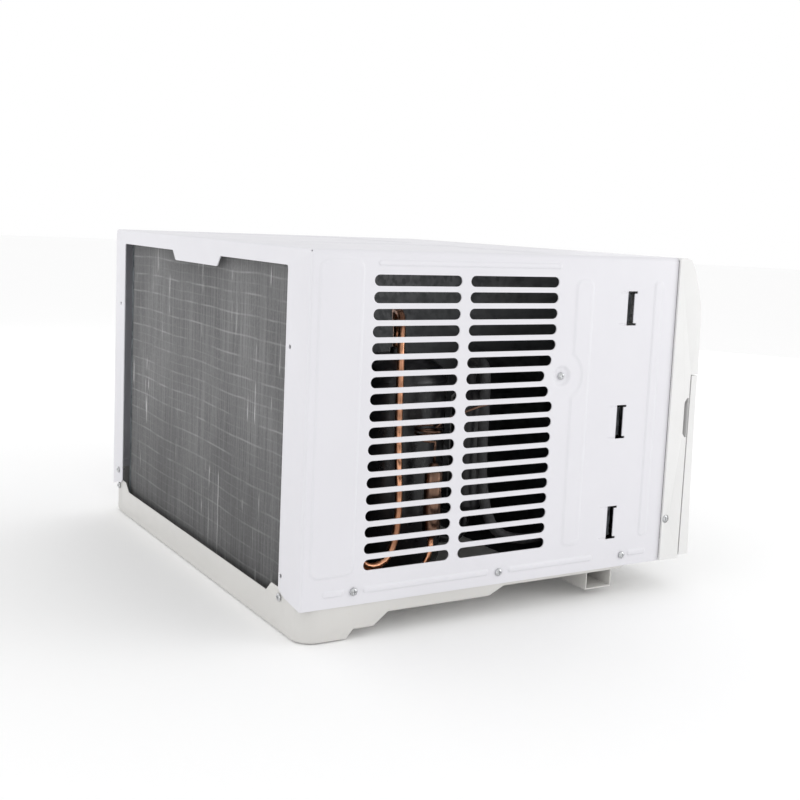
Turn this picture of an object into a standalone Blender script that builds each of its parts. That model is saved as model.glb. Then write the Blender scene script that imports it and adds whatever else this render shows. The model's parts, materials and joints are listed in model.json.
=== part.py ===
"""Window air conditioner, modelled as the separate pieces it comes apart into.

The room side (plastic front) faces -Y, the outdoor side (condenser) faces +Y and +Z is up.
The origin is the middle of the footprint, at the lowest point of the base pan.
Every size below is in millimetres; MM turns it into Blender's metres when a mesh is made.
"""

from math import asin, cos, degrees, pi, radians, sin, sqrt

import bmesh
import bpy
from mathutils import Matrix, Vector
from mathutils.geometry import tessellate_polygon

MM = 0.001
GAP = 0.3
AXES = {"X": 0, "Y": 1, "Z": 2}

# Cabinet: the painted steel wrapper and the plane where the plastic front starts.
CABINET_HALF_WIDTH = 297.0
CABINET_TOP = 388.0
CABINET_BOTTOM = 36.0
REAR = 260.0
SEAM = -204.0
SHEET = 1.2
EDGE_RADIUS = 5.0

# Side louvre slots: two columns of rows, each column a stretch along Y.
SLOT_ROWS = 18
SLOT_TOP = 364.6
SLOT_PITCH = 16.68
SLOT_HEIGHT = 11.2
SLOT_COLUMNS = ((89.5, 191.3), (-34.5, 78.9))
BOSS = (-45.2, 258.0)
BOSS_CLEARANCE = 23.2

# Lanced H-shaped slots near the front of each side, as (y, z) centres.
LANCE_CENTRES = ((-133.3, 331.0), (-127.8, 203.8), (-123.8, 88.5))
LANCE_WIDTH = 25.0
LANCE_HEIGHT = 38.0
LANCE_BAR = 4.5
LANCE_OPENING = (-8.5, 1.5)

# Rear opening in the cabinet and the tab that hangs from its top edge.
OPENING_LEFT = 257.0
OPENING_RIGHT = -247.0
OPENING_TOP = 369.8
TAB_BOTTOM = 358.2
TAB_HALF_TOP = 75.0
TAB_HALF_BOTTOM = 65.0

# Base pan: underside levels from the rear sump to the front shelf.
PAN_HALF_WIDTH = 295.5
PAN_REAR = 258.5
PAN_TOP = 58.0
PAN_REAR_WALL_TOP = 35.0
PAN_EAR_TOP = 46.0
PAN_CORNER_RADIUS = 22.0
PAN_EDGE_RADIUS = 4.0
PAN_UNDERSIDE = (
    (PAN_REAR, 0.0),
    (206.0, 0.0),
    (198.0, 9.0),
    (175.0, 9.0),
    (158.0, 22.0),
    (33.0, 22.0),
    (14.0, 31.0),
    (-150.0, 31.0),
    (-160.0, 37.0),
    (-203.4, 37.0),
)
PAN_MIDDLE_FLOOR = 22.0 + SHEET
PAN_FRONT_FLOOR = 31.0 + SHEET

# Sheet-metal screws: where the shank enters, as (y, z) on a side or (x, z) at the rear.
SCREW_HEAD_RADIUS = 4.3
SCREW_HEAD_HEIGHT = 2.4
SCREW_SHANK_RADIUS = 1.7
SCREW_HOLE_RADIUS = 2.2
SCREW_LENGTH = 9.0
SIDE_SCREWS = ((201.5, 50.0), (25.0, 49.0), (-147.0, 48.8))
BEZEL_SCREW = (-209.4, 85.7)
REAR_SCREWS = ((271.0, 59.0), (271.0, 37.0), (-248.0, 37.0))
SPARE_REAR_HOLES = ((-252.0, 60.0), (-256.4, 291.0), (272.0, 289.0))

# Sill rail under the pan.
RAIL_HALF_LENGTH = 285.0
RAIL_Y = (-145.0, -108.0)
RAIL_Z = (8.8, 30.7)
RAIL_SHEET = 1.5

# Shaft line shared by the motor, the condenser fan and the blower wheel, as (x, z).
SHAFT = (50.0, 182.0)
SHAFT_RADIUS = 5.0
BORE_RADIUS = 5.5

# Front bezel and its grille door.
BEZEL_HALF_WIDTH = 300.0
BEZEL_WALL = 2.5
BEZEL_RECESS = 2.0
BEZEL_LOWER_FACE = -232.5
BEZEL_SPLIT = 254.5
DOOR_BACK = -234.5
DOOR_HINGE = (-236.0, 42.5)
DOOR_EAR_X = 200.0
FINGER_SLOT = (
    (-226.0, 186.0),
    (-226.0, 222.0),
    (-229.5, 227.0),
    (-232.0, 227.0),
    (-232.0, 181.0),
    (-229.5, 181.0),
)
OUTLET_X = (-271.0, 111.0)
OUTLET_Z = (267.0, 341.0)
COLLAR_WALL = 3.0
COLLAR_REAR = -180.0

# Air vanes and louvres in the outlet.
LOUVRE_Z = (280.0, 304.0, 328.0)
LOUVRE_Y = -226.0
LOUVRE_CHORD = 20.0
VANE_X = (-223.0, -128.0, -33.0, 62.0)
VANE_Y = -196.0
VANE_CHORD = 22.0
CRANK = 7.0

# Controls on the right of the front.
PANEL_X = (130.0, 284.0)
PANEL_Z = (262.0, 338.0)
PANEL_FACE = -246.3
PANEL_BACK = -243.9
TEMPERATURE_KNOB = (165.0, 304.0)
MODE_KNOB = (213.0, 304.0)
BUTTON = (258.0, 316.0)
LEVER = (249.0, 288.0)
KNOB_FRONT = -262.6

# Coils.
CONDENSER_X = (-262.0, 250.0)
CONDENSER_Y = (212.0, 250.0)
CONDENSER_Z = (14.0, 376.0)
EVAPORATOR_X = (-258.0, 258.0)
EVAPORATOR_Y = (-214.0, -180.0)
EVAPORATOR_Z = (47.5, 250.0)
BEND_PITCH = 25.0
BEND_TUBE_RADIUS = 4.5

# Outdoor section.
COMPRESSOR = (-190.0, 100.0)
COMPRESSOR_RADIUS = 58.0
FOOT_RADIUS = 64.0
FOOT_ANGLES = (60.0, 180.0, 300.0)
BULKHEAD_Y = -56.0
SHROUD_Y = 168.0
DAMPER_HINGE = (-52.8, 375.5)


def clear_scene():
    """Remove every object that the startup scene holds."""
    for item in list(bpy.data.objects):
        bpy.data.objects.remove(item, do_unlink=True)


def make_material(name, colour, roughness, metallic=0.0):
    """A Principled material with one colour, roughness and metallic value."""
    material = bpy.data.materials.new(name)
    material.use_nodes = True
    shader = material.node_tree.nodes["Principled BSDF"]
    shader.inputs["Base Color"].default_value = (*colour, 1.0)
    shader.inputs["Roughness"].default_value = roughness
    shader.inputs["Metallic"].default_value = metallic
    return material


def make_materials():
    """Every finish on the object, by slot name."""
    finishes = {
        "cabinet_paint": ((0.83, 0.83, 0.86), 0.35, 0.0),
        "pan_paint": ((0.62, 0.60, 0.57), 0.4, 0.0),
        "bezel_plastic": ((0.86, 0.86, 0.84), 0.45, 0.0),
        "dark_plastic": ((0.05, 0.05, 0.055), 0.5, 0.0),
        "filter_mesh": ((0.30, 0.34, 0.38), 0.8, 0.0),
        "galvanised": ((0.55, 0.57, 0.58), 0.4, 0.9),
        "zinc_screw": ((0.62, 0.62, 0.60), 0.3, 1.0),
        "aluminium_fin": ((0.45, 0.46, 0.47), 0.45, 0.9),
        "copper": ((0.72, 0.36, 0.20), 0.3, 1.0),
        "black_enamel": ((0.02, 0.02, 0.022), 0.3, 0.0),
        "rubber": ((0.03, 0.03, 0.03), 0.8, 0.0),
        "foam": ((0.80, 0.80, 0.78), 0.9, 0.0),
        "fan_plastic": ((0.12, 0.13, 0.14), 0.5, 0.0),
        "steel_shaft": ((0.50, 0.50, 0.51), 0.25, 1.0),
    }
    return {name: make_material(name, *values) for name, values in finishes.items()}


def new_object(name, mesh):
    """Put a mesh into the scene as an object."""
    item = bpy.data.objects.new(name, mesh)
    bpy.context.scene.collection.objects.link(item)
    return item


def solid(bm):
    """Turn a bmesh into a scratch object with outward faces, in metres."""
    bmesh.ops.remove_doubles(bm, verts=bm.verts, dist=0.0005)
    bmesh.ops.recalc_face_normals(bm, faces=bm.faces)
    bmesh.ops.scale(bm, vec=(MM, MM, MM), verts=bm.verts)
    mesh = bpy.data.meshes.new("scratch")
    bm.to_mesh(mesh)
    bm.free()
    return new_object("scratch", mesh)


def at_axis(axis, along, a, b):
    """The point at `along` on the named axis, with (a, b) on the other two in X, Y, Z order."""
    if axis == "X":
        return (along, a, b)
    if axis == "Y":
        return (a, along, b)
    return (a, b, along)


def prism(outline, axis, low, high, holes=()):
    """A flat outline, with any holes, carried along an axis from low to high."""
    bm = bmesh.new()
    loops = [list(outline)] + [list(hole) for hole in holes]
    ends = []
    for along in (low, high):
        ends.append([[bm.verts.new(at_axis(axis, along, *point)) for point in loop] for loop in loops])
    flat = [[Vector((a, b, 0.0)) for a, b in loop] for loop in loops]
    for end in ends:
        corners = [vert for loop in end for vert in loop]
        for triple in tessellate_polygon(flat):
            bm.faces.new([corners[index] for index in triple])
    for lower, upper in zip(*ends):
        count = len(lower)
        for index in range(count):
            after = (index + 1) % count
            bm.faces.new((lower[index], lower[after], upper[after], upper[index]))
    return solid(bm)


def box(x, y, z):
    """A rectangular block between three (low, high) pairs."""
    outline = ((x[0], y[0]), (x[1], y[0]), (x[1], y[1]), (x[0], y[1]))
    return prism(outline, "Z", z[0], z[1])


def arc(centre, radius, start, stop, steps):
    """Points on a circle from start to stop, in degrees, both ends included."""
    turn = [radians(start + (stop - start) * index / steps) for index in range(steps + 1)]
    return [(centre[0] + radius * cos(angle), centre[1] + radius * sin(angle)) for angle in turn]


def circle(centre, radius, sides):
    """A closed ring of points."""
    return arc(centre, radius, 0.0, 360.0 * (sides - 1) / sides, sides - 1)


def rounded(a, b, radius, steps=2):
    """A rectangle between two (low, high) pairs with round corners."""
    points = []
    for corner_a, corner_b, start in (
        (a[1] - radius, b[1] - radius, 0.0),
        (a[0] + radius, b[1] - radius, 90.0),
        (a[0] + radius, b[0] + radius, 180.0),
        (a[1] - radius, b[0] + radius, 270.0),
    ):
        points += arc((corner_a, corner_b), radius, start, start + 90.0, steps)
    return points


def turned(profile, axis, centre, sides):
    """Turn a (radius, along) outline round a line on the named axis; radius 0 closes an end."""
    bm = bmesh.new()
    rings = []
    for radius, along in profile:
        if radius == 0.0:
            rings.append([bm.verts.new(at_axis(axis, along, *centre))])
        else:
            points = circle(centre, radius, sides)
            rings.append([bm.verts.new(at_axis(axis, along, *point)) for point in points])
    has_poles = len(rings[0]) == 1 and len(rings[-1]) == 1
    pairs = list(zip(rings, rings[1:]))
    if not has_poles:
        pairs.append((rings[-1], rings[0]))
    for lower, upper in pairs:
        for index in range(sides):
            after = (index + 1) % sides
            corners = [lower[index % len(lower)], lower[after % len(lower)]]
            corners += [upper[after % len(upper)], upper[index % len(upper)]]
            bm.faces.new(list(dict.fromkeys(corners)))
    return solid(bm)


def around(middle, half):
    """The span of a given half width about a middle."""
    return (middle - half, middle + half)


def cylinder(axis, centre, radius, low, high, sides=16):
    """A plain round bar along an axis."""
    return prism(circle(centre, radius, sides), axis, low, high)


def smooth_path(points, pieces=3):
    """A Catmull-Rom curve through hand-set points."""
    path = [Vector(point) for point in points]
    padded = [path[0] * 2 - path[1]] + path + [path[-1] * 2 - path[-2]]
    curve = []
    for before, start, stop, after in zip(padded, padded[1:], padded[2:], padded[3:]):
        for step in range(pieces):
            t = step / pieces
            point = start * 2 + (stop - before) * t
            point += (before * 2 - start * 5 + stop * 4 - after) * t**2
            point += (start * 3 - before - stop * 3 + after) * t**3
            curve.append(point / 2)
    curve.append(path[-1])
    return curve


def sweep(path, radius, sides=7):
    """A round bar along a list of points, with flat ends and an untwisted section."""
    bm = bmesh.new()
    tangents = []
    for index in range(len(path)):
        before = path[max(index - 1, 0)]
        after = path[min(index + 1, len(path) - 1)]
        tangents.append((after - before).normalized())
    across = tangents[0].orthogonal().normalized()
    rings = []
    for point, tangent in zip(path, tangents):
        across = (across - tangent * across.dot(tangent)).normalized()
        other = tangent.cross(across)
        ring = []
        for angle in (2 * pi * step / sides for step in range(sides)):
            ring.append(bm.verts.new(point + (across * cos(angle) + other * sin(angle)) * radius))
        rings.append(ring)
    for lower, upper in zip(rings, rings[1:]):
        for index in range(sides):
            after = (index + 1) % sides
            bm.faces.new((lower[index], lower[after], upper[after], upper[index]))
    bm.faces.new(rings[0][::-1])
    bm.faces.new(rings[-1])
    return solid(bm)


def merged(items):
    """Put several scratch solids that don't touch into one object, to cut or join them all at once."""
    bm = bmesh.new()
    for item in items:
        bm.from_mesh(item.data)
        bpy.data.objects.remove(item, do_unlink=True)
    mesh = bpy.data.meshes.new("scratch")
    bm.to_mesh(mesh)
    bm.free()
    return new_object("scratch", mesh)


def apply_boolean(target, tool, operation):
    """Apply one exact Boolean and delete its tool."""
    modifier = target.modifiers.new(operation.title(), "BOOLEAN")
    modifier.operation = operation
    modifier.solver = "EXACT"
    modifier.object = tool
    bpy.context.view_layer.update()
    graph = bpy.context.evaluated_depsgraph_get()
    result = bpy.data.meshes.new_from_object(target.evaluated_get(graph))
    target.modifiers.clear()
    target.data = result
    bpy.data.objects.remove(tool, do_unlink=True)
    return target


def cut(target, *tools):
    """Take each tool away from the target."""
    for tool in tools:
        apply_boolean(target, tool, "DIFFERENCE")
    return target


def fuse(target, *tools):
    """Join each tool to the target."""
    for tool in tools:
        apply_boolean(target, tool, "UNION")
    return target


def node(name, item, material, pivot=None, smooth=False):
    """Name a finished piece, give it its material and, where it moves, an origin on its axis."""
    item.name = name
    item.data.name = name
    item.data.materials.clear()
    item.data.materials.append(material)
    if smooth:
        item.data.shade_smooth()
        item.data.set_sharp_from_angle(angle=radians(35.0))
    else:
        item.data.shade_flat()
    if pivot is not None:
        origin = Vector(pivot) * MM
        item.data.transform(Matrix.Translation(-origin))
        item.location = origin
    return item


def both_sides(make, *args):
    """Make a piece for the left side and its mirror for the right."""
    return [make(side, *args) for side in (-1.0, 1.0)]


def side_span(side, inner, outer):
    """An X (low, high) pair on one side, from two distances from the middle."""
    return tuple(sorted((side * inner, side * outer)))


def slot_outline(column, row):
    """The round-ended outline of one louvre slot, shortened where it would reach the screw boss."""
    front, back = SLOT_COLUMNS[column]
    middle = SLOT_TOP - SLOT_PITCH * row - SLOT_HEIGHT / 2
    drop = abs(middle - BOSS[1])
    if drop < BOSS_CLEARANCE:
        front = max(front, BOSS[0] + sqrt(BOSS_CLEARANCE**2 - drop**2))
    radius = SLOT_HEIGHT / 2
    rear_end = arc((back - radius, middle), radius, -90.0, 90.0, 3)
    front_end = arc((front + radius, middle), radius, 90.0, 270.0, 3)
    return rear_end + front_end


def lance_outline(centre):
    """The H-shaped cut: a bar at each end and one opening between its two flaps."""
    y, z = centre
    rear, front = y + LANCE_WIDTH / 2, y - LANCE_WIDTH / 2
    top, bottom = z + LANCE_HEIGHT / 2, z - LANCE_HEIGHT / 2
    near, far = y + LANCE_OPENING[1], y + LANCE_OPENING[0]
    return (
        (rear, top),
        (front, top),
        (front, top - LANCE_BAR),
        (far, top - LANCE_BAR),
        (far, bottom + LANCE_BAR),
        (front, bottom + LANCE_BAR),
        (front, bottom),
        (rear, bottom),
        (rear, bottom + LANCE_BAR),
        (near, bottom + LANCE_BAR),
        (near, top - LANCE_BAR),
        (rear, top - LANCE_BAR),
    )


def bulged_rib_outline():
    """The pressed rib beside the slots, whose rear edge bows round the screw boss."""
    rear, front, bottom, top, radius = -57.0, -84.0, 66.5, 363.0, 9.0
    bow = 25.0
    reach = sqrt(bow**2 - (rear - BOSS[0]) ** 2)
    start = 180.0 + degrees(asin(reach / bow))
    bowed = arc(BOSS, bow, start, 360.0 - start, 6)
    points = rounded((front, rear), (bottom, top), radius)
    lower_right = [point for point in points if point[1] < 200.0]
    upper = [point for point in points if point[1] > 200.0]
    upper_rear = [point for point in upper if point[0] > (rear + front) / 2]
    upper_front = [point for point in upper if point[0] <= (rear + front) / 2]
    return bowed + upper_rear + upper_front + lower_right


def cabinet_ribs(side):
    """The raised panels and beads pressed into one cabinet side."""
    outlines = [
        rounded((201.5, 250.5), (66.0, 379.0), 9.0),
        bulged_rib_outline(),
        rounded((-184.0, -169.0), (67.0, 363.0), 7.0),
        rounded((-37.0, 188.4), (372.5, 379.5), 3.4),
    ]
    for span in ((211.0, 237.0), (37.0, 191.5), (-104.0, 13.0), (-184.0, -154.5)):
        outlines.append(rounded(span, (46.5, 54.5), 3.4))
    low, high = side_span(side, CABINET_HALF_WIDTH - SHEET / 2, CABINET_HALF_WIDTH + 1.0)
    return merged([prism(outline, "X", low, high) for outline in outlines])


def cabinet_arch(inset):
    """The wrapper's section in XZ, as the run of points from one bottom edge over to the other."""
    half = CABINET_HALF_WIDTH - inset
    top = CABINET_TOP - inset
    radius = EDGE_RADIUS - inset
    points = [(half, CABINET_BOTTOM)]
    points += arc((half - radius, top - radius), radius, 0.0, 90.0, 3)
    points += arc((radius - half, top - radius), radius, 90.0, 180.0, 3)
    points.append((-half, CABINET_BOTTOM))
    return points


def rear_flange():
    """The folded frame round the rear opening, with its hanging tab and slanted lower ends."""
    outer = CABINET_HALF_WIDTH - SHEET / 2
    top = CABINET_TOP - SHEET / 2
    notch = EDGE_RADIUS + 2.0
    outline = (
        (-outer, CABINET_BOTTOM + SHEET / 2),
        (-outer, top - notch),
        (notch - outer, top),
        (outer - notch, top),
        (outer, top - notch),
        (outer, CABINET_BOTTOM + SHEET / 2),
        (278.0, 42.5),
        (262.0, 44.0),
        (OPENING_LEFT, 48.0),
        (OPENING_LEFT, OPENING_TOP),
        (TAB_HALF_TOP, OPENING_TOP),
        (TAB_HALF_BOTTOM, TAB_BOTTOM),
        (-TAB_HALF_BOTTOM, TAB_BOTTOM),
        (-TAB_HALF_TOP, OPENING_TOP),
        (OPENING_RIGHT, OPENING_TOP),
        (OPENING_RIGHT, 46.0),
        (-252.0, 43.5),
        (-262.0, 40.0),
    )
    holes = [circle(spot, SCREW_HOLE_RADIUS, 8) for spot in (REAR_SCREWS[0], *SPARE_REAR_HOLES)]
    return prism(outline, "Y", REAR - SHEET, REAR - 0.1, holes)


def boss_pocket(side):
    """A dished recess that sinks the bulkhead screw, as (backing pad, pocket, shank hole)."""
    outer = CABINET_HALF_WIDTH
    pad = cylinder("X", BOSS, 14.0, *side_span(side, outer - 3.6, outer - SHEET / 2), 16)
    rings = []
    for radius, depth in ((12.0, -1.0), (12.0, 0.0), (9.0, 2.2)):
        rings.append((radius, side * (outer - depth)))
    profile = [(0.0, rings[0][1])] + rings + [(0.0, rings[-1][1])]
    pocket = turned(profile, "X", BOSS, 16)
    hole = cylinder("X", BOSS, SCREW_HOLE_RADIUS, *side_span(side, outer - 8.0, outer + 3.0), 8)
    return pad, pocket, hole


def build_cabinet(material):
    """The wrapper: top, two louvred sides and the folded rear frame."""
    arch = cabinet_arch(0.0) + cabinet_arch(SHEET)[::-1]
    cabinet = prism(arch, "Y", SEAM, REAR)
    fuse(cabinet, rear_flange())
    for ribs in both_sides(cabinet_ribs):
        fuse(cabinet, ribs)
    for side in (-1.0, 1.0):
        tongue_x = side_span(side, CABINET_HALF_WIDTH - 1.0, CABINET_HALF_WIDTH - 0.2)
        fuse(cabinet, box(tongue_x, (-214.0, -190.0), (76.0, 96.0)))
        pad, pocket, hole = boss_pocket(side)
        fuse(cabinet, pad)
        cut(cabinet, pocket, hole)
    reach = CABINET_HALF_WIDTH + 5.0
    slots = []
    for row in range(SLOT_ROWS):
        for column in range(len(SLOT_COLUMNS)):
            slots.append(prism(slot_outline(column, row), "X", -reach, reach))
    slots += [prism(lance_outline(centre), "X", -reach, reach) for centre in LANCE_CENTRES]
    for spot in (*SIDE_SCREWS, BEZEL_SCREW):
        slots.append(cylinder("X", spot, SCREW_HOLE_RADIUS, -reach, reach, 8))
    cut(cabinet, merged(slots))
    node("cabinet_wrap", cabinet, material)


def pan_shell(inset):
    """The pan's filled shape, shrunk by inset: stepped underside, round rear corners."""
    top = PAN_TOP if inset == 0.0 else PAN_TOP + 20.0
    side = [(max(min(y, PAN_REAR - inset), -203.4 + inset), z + inset) for y, z in PAN_UNDERSIDE]
    outline = [(PAN_REAR - inset, top)] + side + [(-203.4 + inset, top)]
    half = PAN_HALF_WIDTH - inset
    shell = prism(outline, "X", -half, half)
    radius = PAN_CORNER_RADIUS - inset
    plan = arc((half - radius, PAN_REAR - inset - radius), radius, 0.0, 90.0, 4)
    plan += arc((radius - half, PAN_REAR - inset - radius), radius, 90.0, 180.0, 4)
    plan += [(-half, -210.0), (half, -210.0)]
    grown = prism(plan, "Z", -5.0, PAN_TOP + 40.0)
    apply_boolean(shell, grown, "INTERSECT")
    return round_underside(shell, PAN_EDGE_RADIUS - inset)


def round_underside(item, radius):
    """Round the edges where a pressed tray's upright walls turn under."""
    bm = bmesh.new()
    bm.from_mesh(item.data)
    bmesh.ops.dissolve_limit(bm, angle_limit=radians(1.0), verts=bm.verts, edges=bm.edges)
    bm.normal_update()
    turned_under = []
    for edge in bm.edges:
        slopes = sorted(face.normal.z for face in edge.link_faces)
        if slopes[0] < -0.3 and abs(slopes[-1]) < 0.05:
            turned_under.append(edge)
    bmesh.ops.bevel(bm, geom=turned_under, offset=radius * MM, segments=2, profile=0.5, affect="EDGES")
    bmesh.ops.triangulate(bm, faces=bm.faces)
    bm.to_mesh(item.data)
    bm.free()
    return item


def build_base_pan(material):
    """The stamped tray that carries everything, with ears at its rear wall for the wrapper."""
    pan = cut(pan_shell(0.0), pan_shell(SHEET))
    window = (
        (-274.0, 90.0),
        (-274.0, PAN_EAR_TOP),
        (-227.0, PAN_EAR_TOP),
        (-215.0, PAN_REAR_WALL_TOP),
        (233.0, PAN_REAR_WALL_TOP),
        (246.0, PAN_EAR_TOP),
        (274.0, PAN_EAR_TOP),
        (274.0, 90.0),
    )
    cut(pan, prism(window, "Y", 240.0, 270.0))
    cut(pan, box((-288.0, 288.0), (-210.0, -200.0), (39.4, 90.0)))
    holes = [cylinder("X", spot, SCREW_HOLE_RADIUS, -310.0, 310.0, 8) for spot in SIDE_SCREWS]
    cut(pan, merged(holes))
    rear_holes = [cylinder("Y", spot, SCREW_HOLE_RADIUS, 245.0, 270.0, 8) for spot in REAR_SCREWS[1:]]
    cut(pan, merged(rear_holes))
    node("base_pan", pan, material)


def build_sill_rail(material):
    """An open-topped channel across the underside, which hooks behind the window sill."""
    front, rear = RAIL_Y
    bottom, top = RAIL_Z
    outline = (
        (front, top),
        (front, bottom),
        (rear, bottom),
        (rear, top),
        (rear - RAIL_SHEET, top),
        (rear - RAIL_SHEET, bottom + RAIL_SHEET),
        (front + RAIL_SHEET, bottom + RAIL_SHEET),
        (front + RAIL_SHEET, top),
    )
    rail = prism(outline, "X", -RAIL_HALF_LENGTH, RAIL_HALF_LENGTH)
    node("sill_rail", rail, material)


def screw(name, axis, spot, seat, direction, material, height=SCREW_HEAD_HEIGHT):
    """A cross-recess pan-head screw; its head stands off the seat, away from direction."""
    head = seat - direction * height
    tip = seat + direction * SCREW_LENGTH
    profile = (
        (0.0, head),
        (SCREW_HEAD_RADIUS * 0.6, head),
        (SCREW_HEAD_RADIUS, head + direction * height / 2),
        (SCREW_HEAD_RADIUS, seat),
        (SCREW_SHANK_RADIUS, seat),
        (SCREW_SHANK_RADIUS, tip - direction * 2.5),
        (0.0, tip),
    )
    item = turned(profile, axis, spot, 8)
    low, high = sorted((head - direction, head + direction * 1.1))
    a, b = spot
    bars = []
    for wide, tall in ((2.2, 0.4), (0.4, 2.2)):
        outline = ((a - wide, b - tall), (a + wide, b - tall), (a + wide, b + tall), (a - wide, b + tall))
        bars.append(prism(outline, axis, low, high))
    cut(item, *bars)
    node(name, item, material, smooth=True)


def build_screws(material):
    """The screws that hold the wrapper to the pan, the bulkhead and the front."""
    outer = -CABINET_HALF_WIDTH - GAP
    for index, spot in enumerate(SIDE_SCREWS, 1):
        screw(f"side_screw_{index}", "X", spot, outer, 1.0, material)
    screw("boss_screw", "X", BOSS, -CABINET_HALF_WIDTH + 2.2 - GAP, 1.0, material)
    screw("bezel_screw", "X", BEZEL_SCREW, -BEZEL_HALF_WIDTH + BEZEL_RECESS - GAP, 1.0, material, 1.7)
    screw("rear_screw_1", "Y", REAR_SCREWS[0], REAR - 0.1 + GAP, -1.0, material)
    for index, spot in enumerate(REAR_SCREWS[1:], 2):
        screw(f"rear_screw_{index}", "Y", spot, PAN_REAR + GAP, -1.0, material)


def bezel_outline(inset):
    """The front's side profile in YZ; inset shrinks it to the hollow, which runs out at the rear."""
    face = (
        (-243.5, BEZEL_SPLIT),
        (-243.0, 282.0),
        (-241.5, 320.0),
        (-240.0, 335.0),
        (-236.5, 350.0),
        (-231.7, 363.0),
        (-227.7, 375.0),
        (-221.0, 386.0),
    )
    if inset == 0.0:
        return (
            (SEAM - GAP, 36.5),
            (BEZEL_LOWER_FACE, 36.5),
            (BEZEL_LOWER_FACE, BEZEL_SPLIT),
            *face,
            (-214.0, CABINET_TOP),
            (SEAM - GAP, CABINET_TOP),
        )
    inner = [(y + inset, min(z, CABINET_TOP - inset - 2.0)) for y, z in face[1:]]
    return (
        (-190.0, 36.5 + inset),
        (BEZEL_LOWER_FACE + inset, 36.5 + inset),
        (BEZEL_LOWER_FACE + inset, BEZEL_SPLIT + inset),
        (-243.5 + inset, BEZEL_SPLIT + inset),
        *inner,
        (-213.0, CABINET_TOP - inset),
        (-190.0, CABINET_TOP - inset),
    )


def build_bezel(material):
    """The moulded front: outer frame, outlet collar, filter rails and door hinge ears."""
    half = BEZEL_HALF_WIDTH
    bezel = prism(bezel_outline(0.0), "X", -half, half)
    hollow = prism(bezel_outline(2.8), "X", BEZEL_WALL - half, half - BEZEL_WALL)
    collar_x = (OUTLET_X[0] - COLLAR_WALL, OUTLET_X[1] + COLLAR_WALL)
    collar_z = (OUTLET_Z[0] - COLLAR_WALL, OUTLET_Z[1] + COLLAR_WALL)
    cut(hollow, box(collar_x, (-250.0, -180.0), collar_z))
    cut(bezel, hollow)
    tail_x = (collar_x[0] + 0.2, collar_x[1] - 0.2)
    tail_z = (collar_z[0] + 0.2, collar_z[1] - 0.2)
    fuse(bezel, box(tail_x, (-208.0, COLLAR_REAR), tail_z))
    cut(bezel, box(OUTLET_X, (-250.0, -170.0), OUTLET_Z))
    windows = [box(span, (-240.0, -225.0), (52.0, 240.0)) for span in ((-284.0, -4.0), (4.0, 284.0))]
    windows.append(box((136.0, 278.0), (-250.0, -236.0), (268.0, 332.0)))
    windows.append(box((293.0, 304.0), (-223.6, -216.4), (48.8, 251.2)))
    for side in (-1.0, 1.0):
        windows.append(prism(FINGER_SLOT, "X", *side_span(side, 293.0, 304.0)))
    cut(bezel, merged(windows))
    for rail_z in ((44.5, 48.5), (251.5, 255.0)):
        fuse(bezel, box((-284.0, 284.0), (-231.0, -218.2), rail_z))
    for x in (-DOOR_EAR_X, DOOR_EAR_X):
        fuse(bezel, box((x - 4.0, x + 4.0), (-239.2, -231.0), (38.8, 46.2)))
    cut(bezel, cylinder("X", BEZEL_SCREW, SCREW_HOLE_RADIUS, -304.0, -290.0, 8))
    holes = [cylinder("X", BEZEL_SCREW, SCREW_HEAD_RADIUS + 0.7, -304.0, -half + BEZEL_RECESS, 12)]
    holes.append(cylinder("Z", (262.0, -216.0), 9.4, 30.0, 44.0, 16))
    for x in (-DOOR_EAR_X, DOOR_EAR_X):
        holes.append(cylinder("X", DOOR_HINGE, 2.0, x - 6.0, x + 6.0, 12))
    for z in LOUVRE_Z:
        holes.append(cylinder("X", (LOUVRE_Y, z), 2.0, OUTLET_X[0] - 6.0, OUTLET_X[0] + 2.0, 10))
        holes.append(cylinder("X", (LOUVRE_Y, z), 2.0, OUTLET_X[1] - 2.0, OUTLET_X[1] + 6.0, 10))
    for x in VANE_X:
        holes.append(cylinder("Z", (x, VANE_Y), 2.0, OUTLET_Z[0] - 6.0, OUTLET_Z[0] + 2.0, 10))
        holes.append(cylinder("Z", (x, VANE_Y), 2.0, OUTLET_Z[1] - 2.0, OUTLET_Z[1] + 6.0, 10))
    cut(bezel, merged(holes))
    node("front_bezel", bezel, material)


def door_outline(inset):
    """The grille door's side profile in YZ; inset gives its hollow, open at the back."""
    back = DOOR_BACK if inset == 0.0 else DOOR_BACK + 10.0
    top = BEZEL_SPLIT - 1.5 - inset
    face = ((-248.5, 56.0), (-246.0, 105.0), (-243.0, 222.0))
    points = [(back, 40.0 + inset), (-248.5 + inset, 40.0 + inset)]
    points += [(y + inset, z) for y, z in face]
    points += [(-243.0 + inset, top), (back, top)]
    return points


def build_grille(material):
    """The intake grille door, which tilts forward on pins at its lower edge."""
    half = BEZEL_HALF_WIDTH - GAP
    door = prism(door_outline(0.0), "X", -half, half)
    cut(door, prism(door_outline(BEZEL_WALL), "X", BEZEL_WALL - half, half - BEZEL_WALL))
    slots = []
    for row in range(12):
        low = 60.0 + 15.0 * row
        for span in ((-284.0, -4.0), (4.0, 284.0)):
            slots.append(box(span, (-255.0, -238.0), (low, low + 9.0)))
    notch = [box((x - 6.0, x + 6.0), (-242.0, -230.0), (35.0, 48.0)) for x in (-DOOR_EAR_X, DOOR_EAR_X)]
    cut(door, merged(slots + notch))
    for x in (-DOOR_EAR_X, DOOR_EAR_X):
        cheeks = []
        for middle in (x - 9.0, x + 9.0):
            cheeks.append(box((middle - 2.0, middle + 2.0), (-247.0, -234.9), (40.8, 49.0)))
        fuse(door, merged(cheeks))
        fuse(door, cylinder("X", DOOR_HINGE, 1.6, x - 9.0, x + 9.0, 12))
    node("intake_grille", door, material, (0.0, *DOOR_HINGE))


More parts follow.
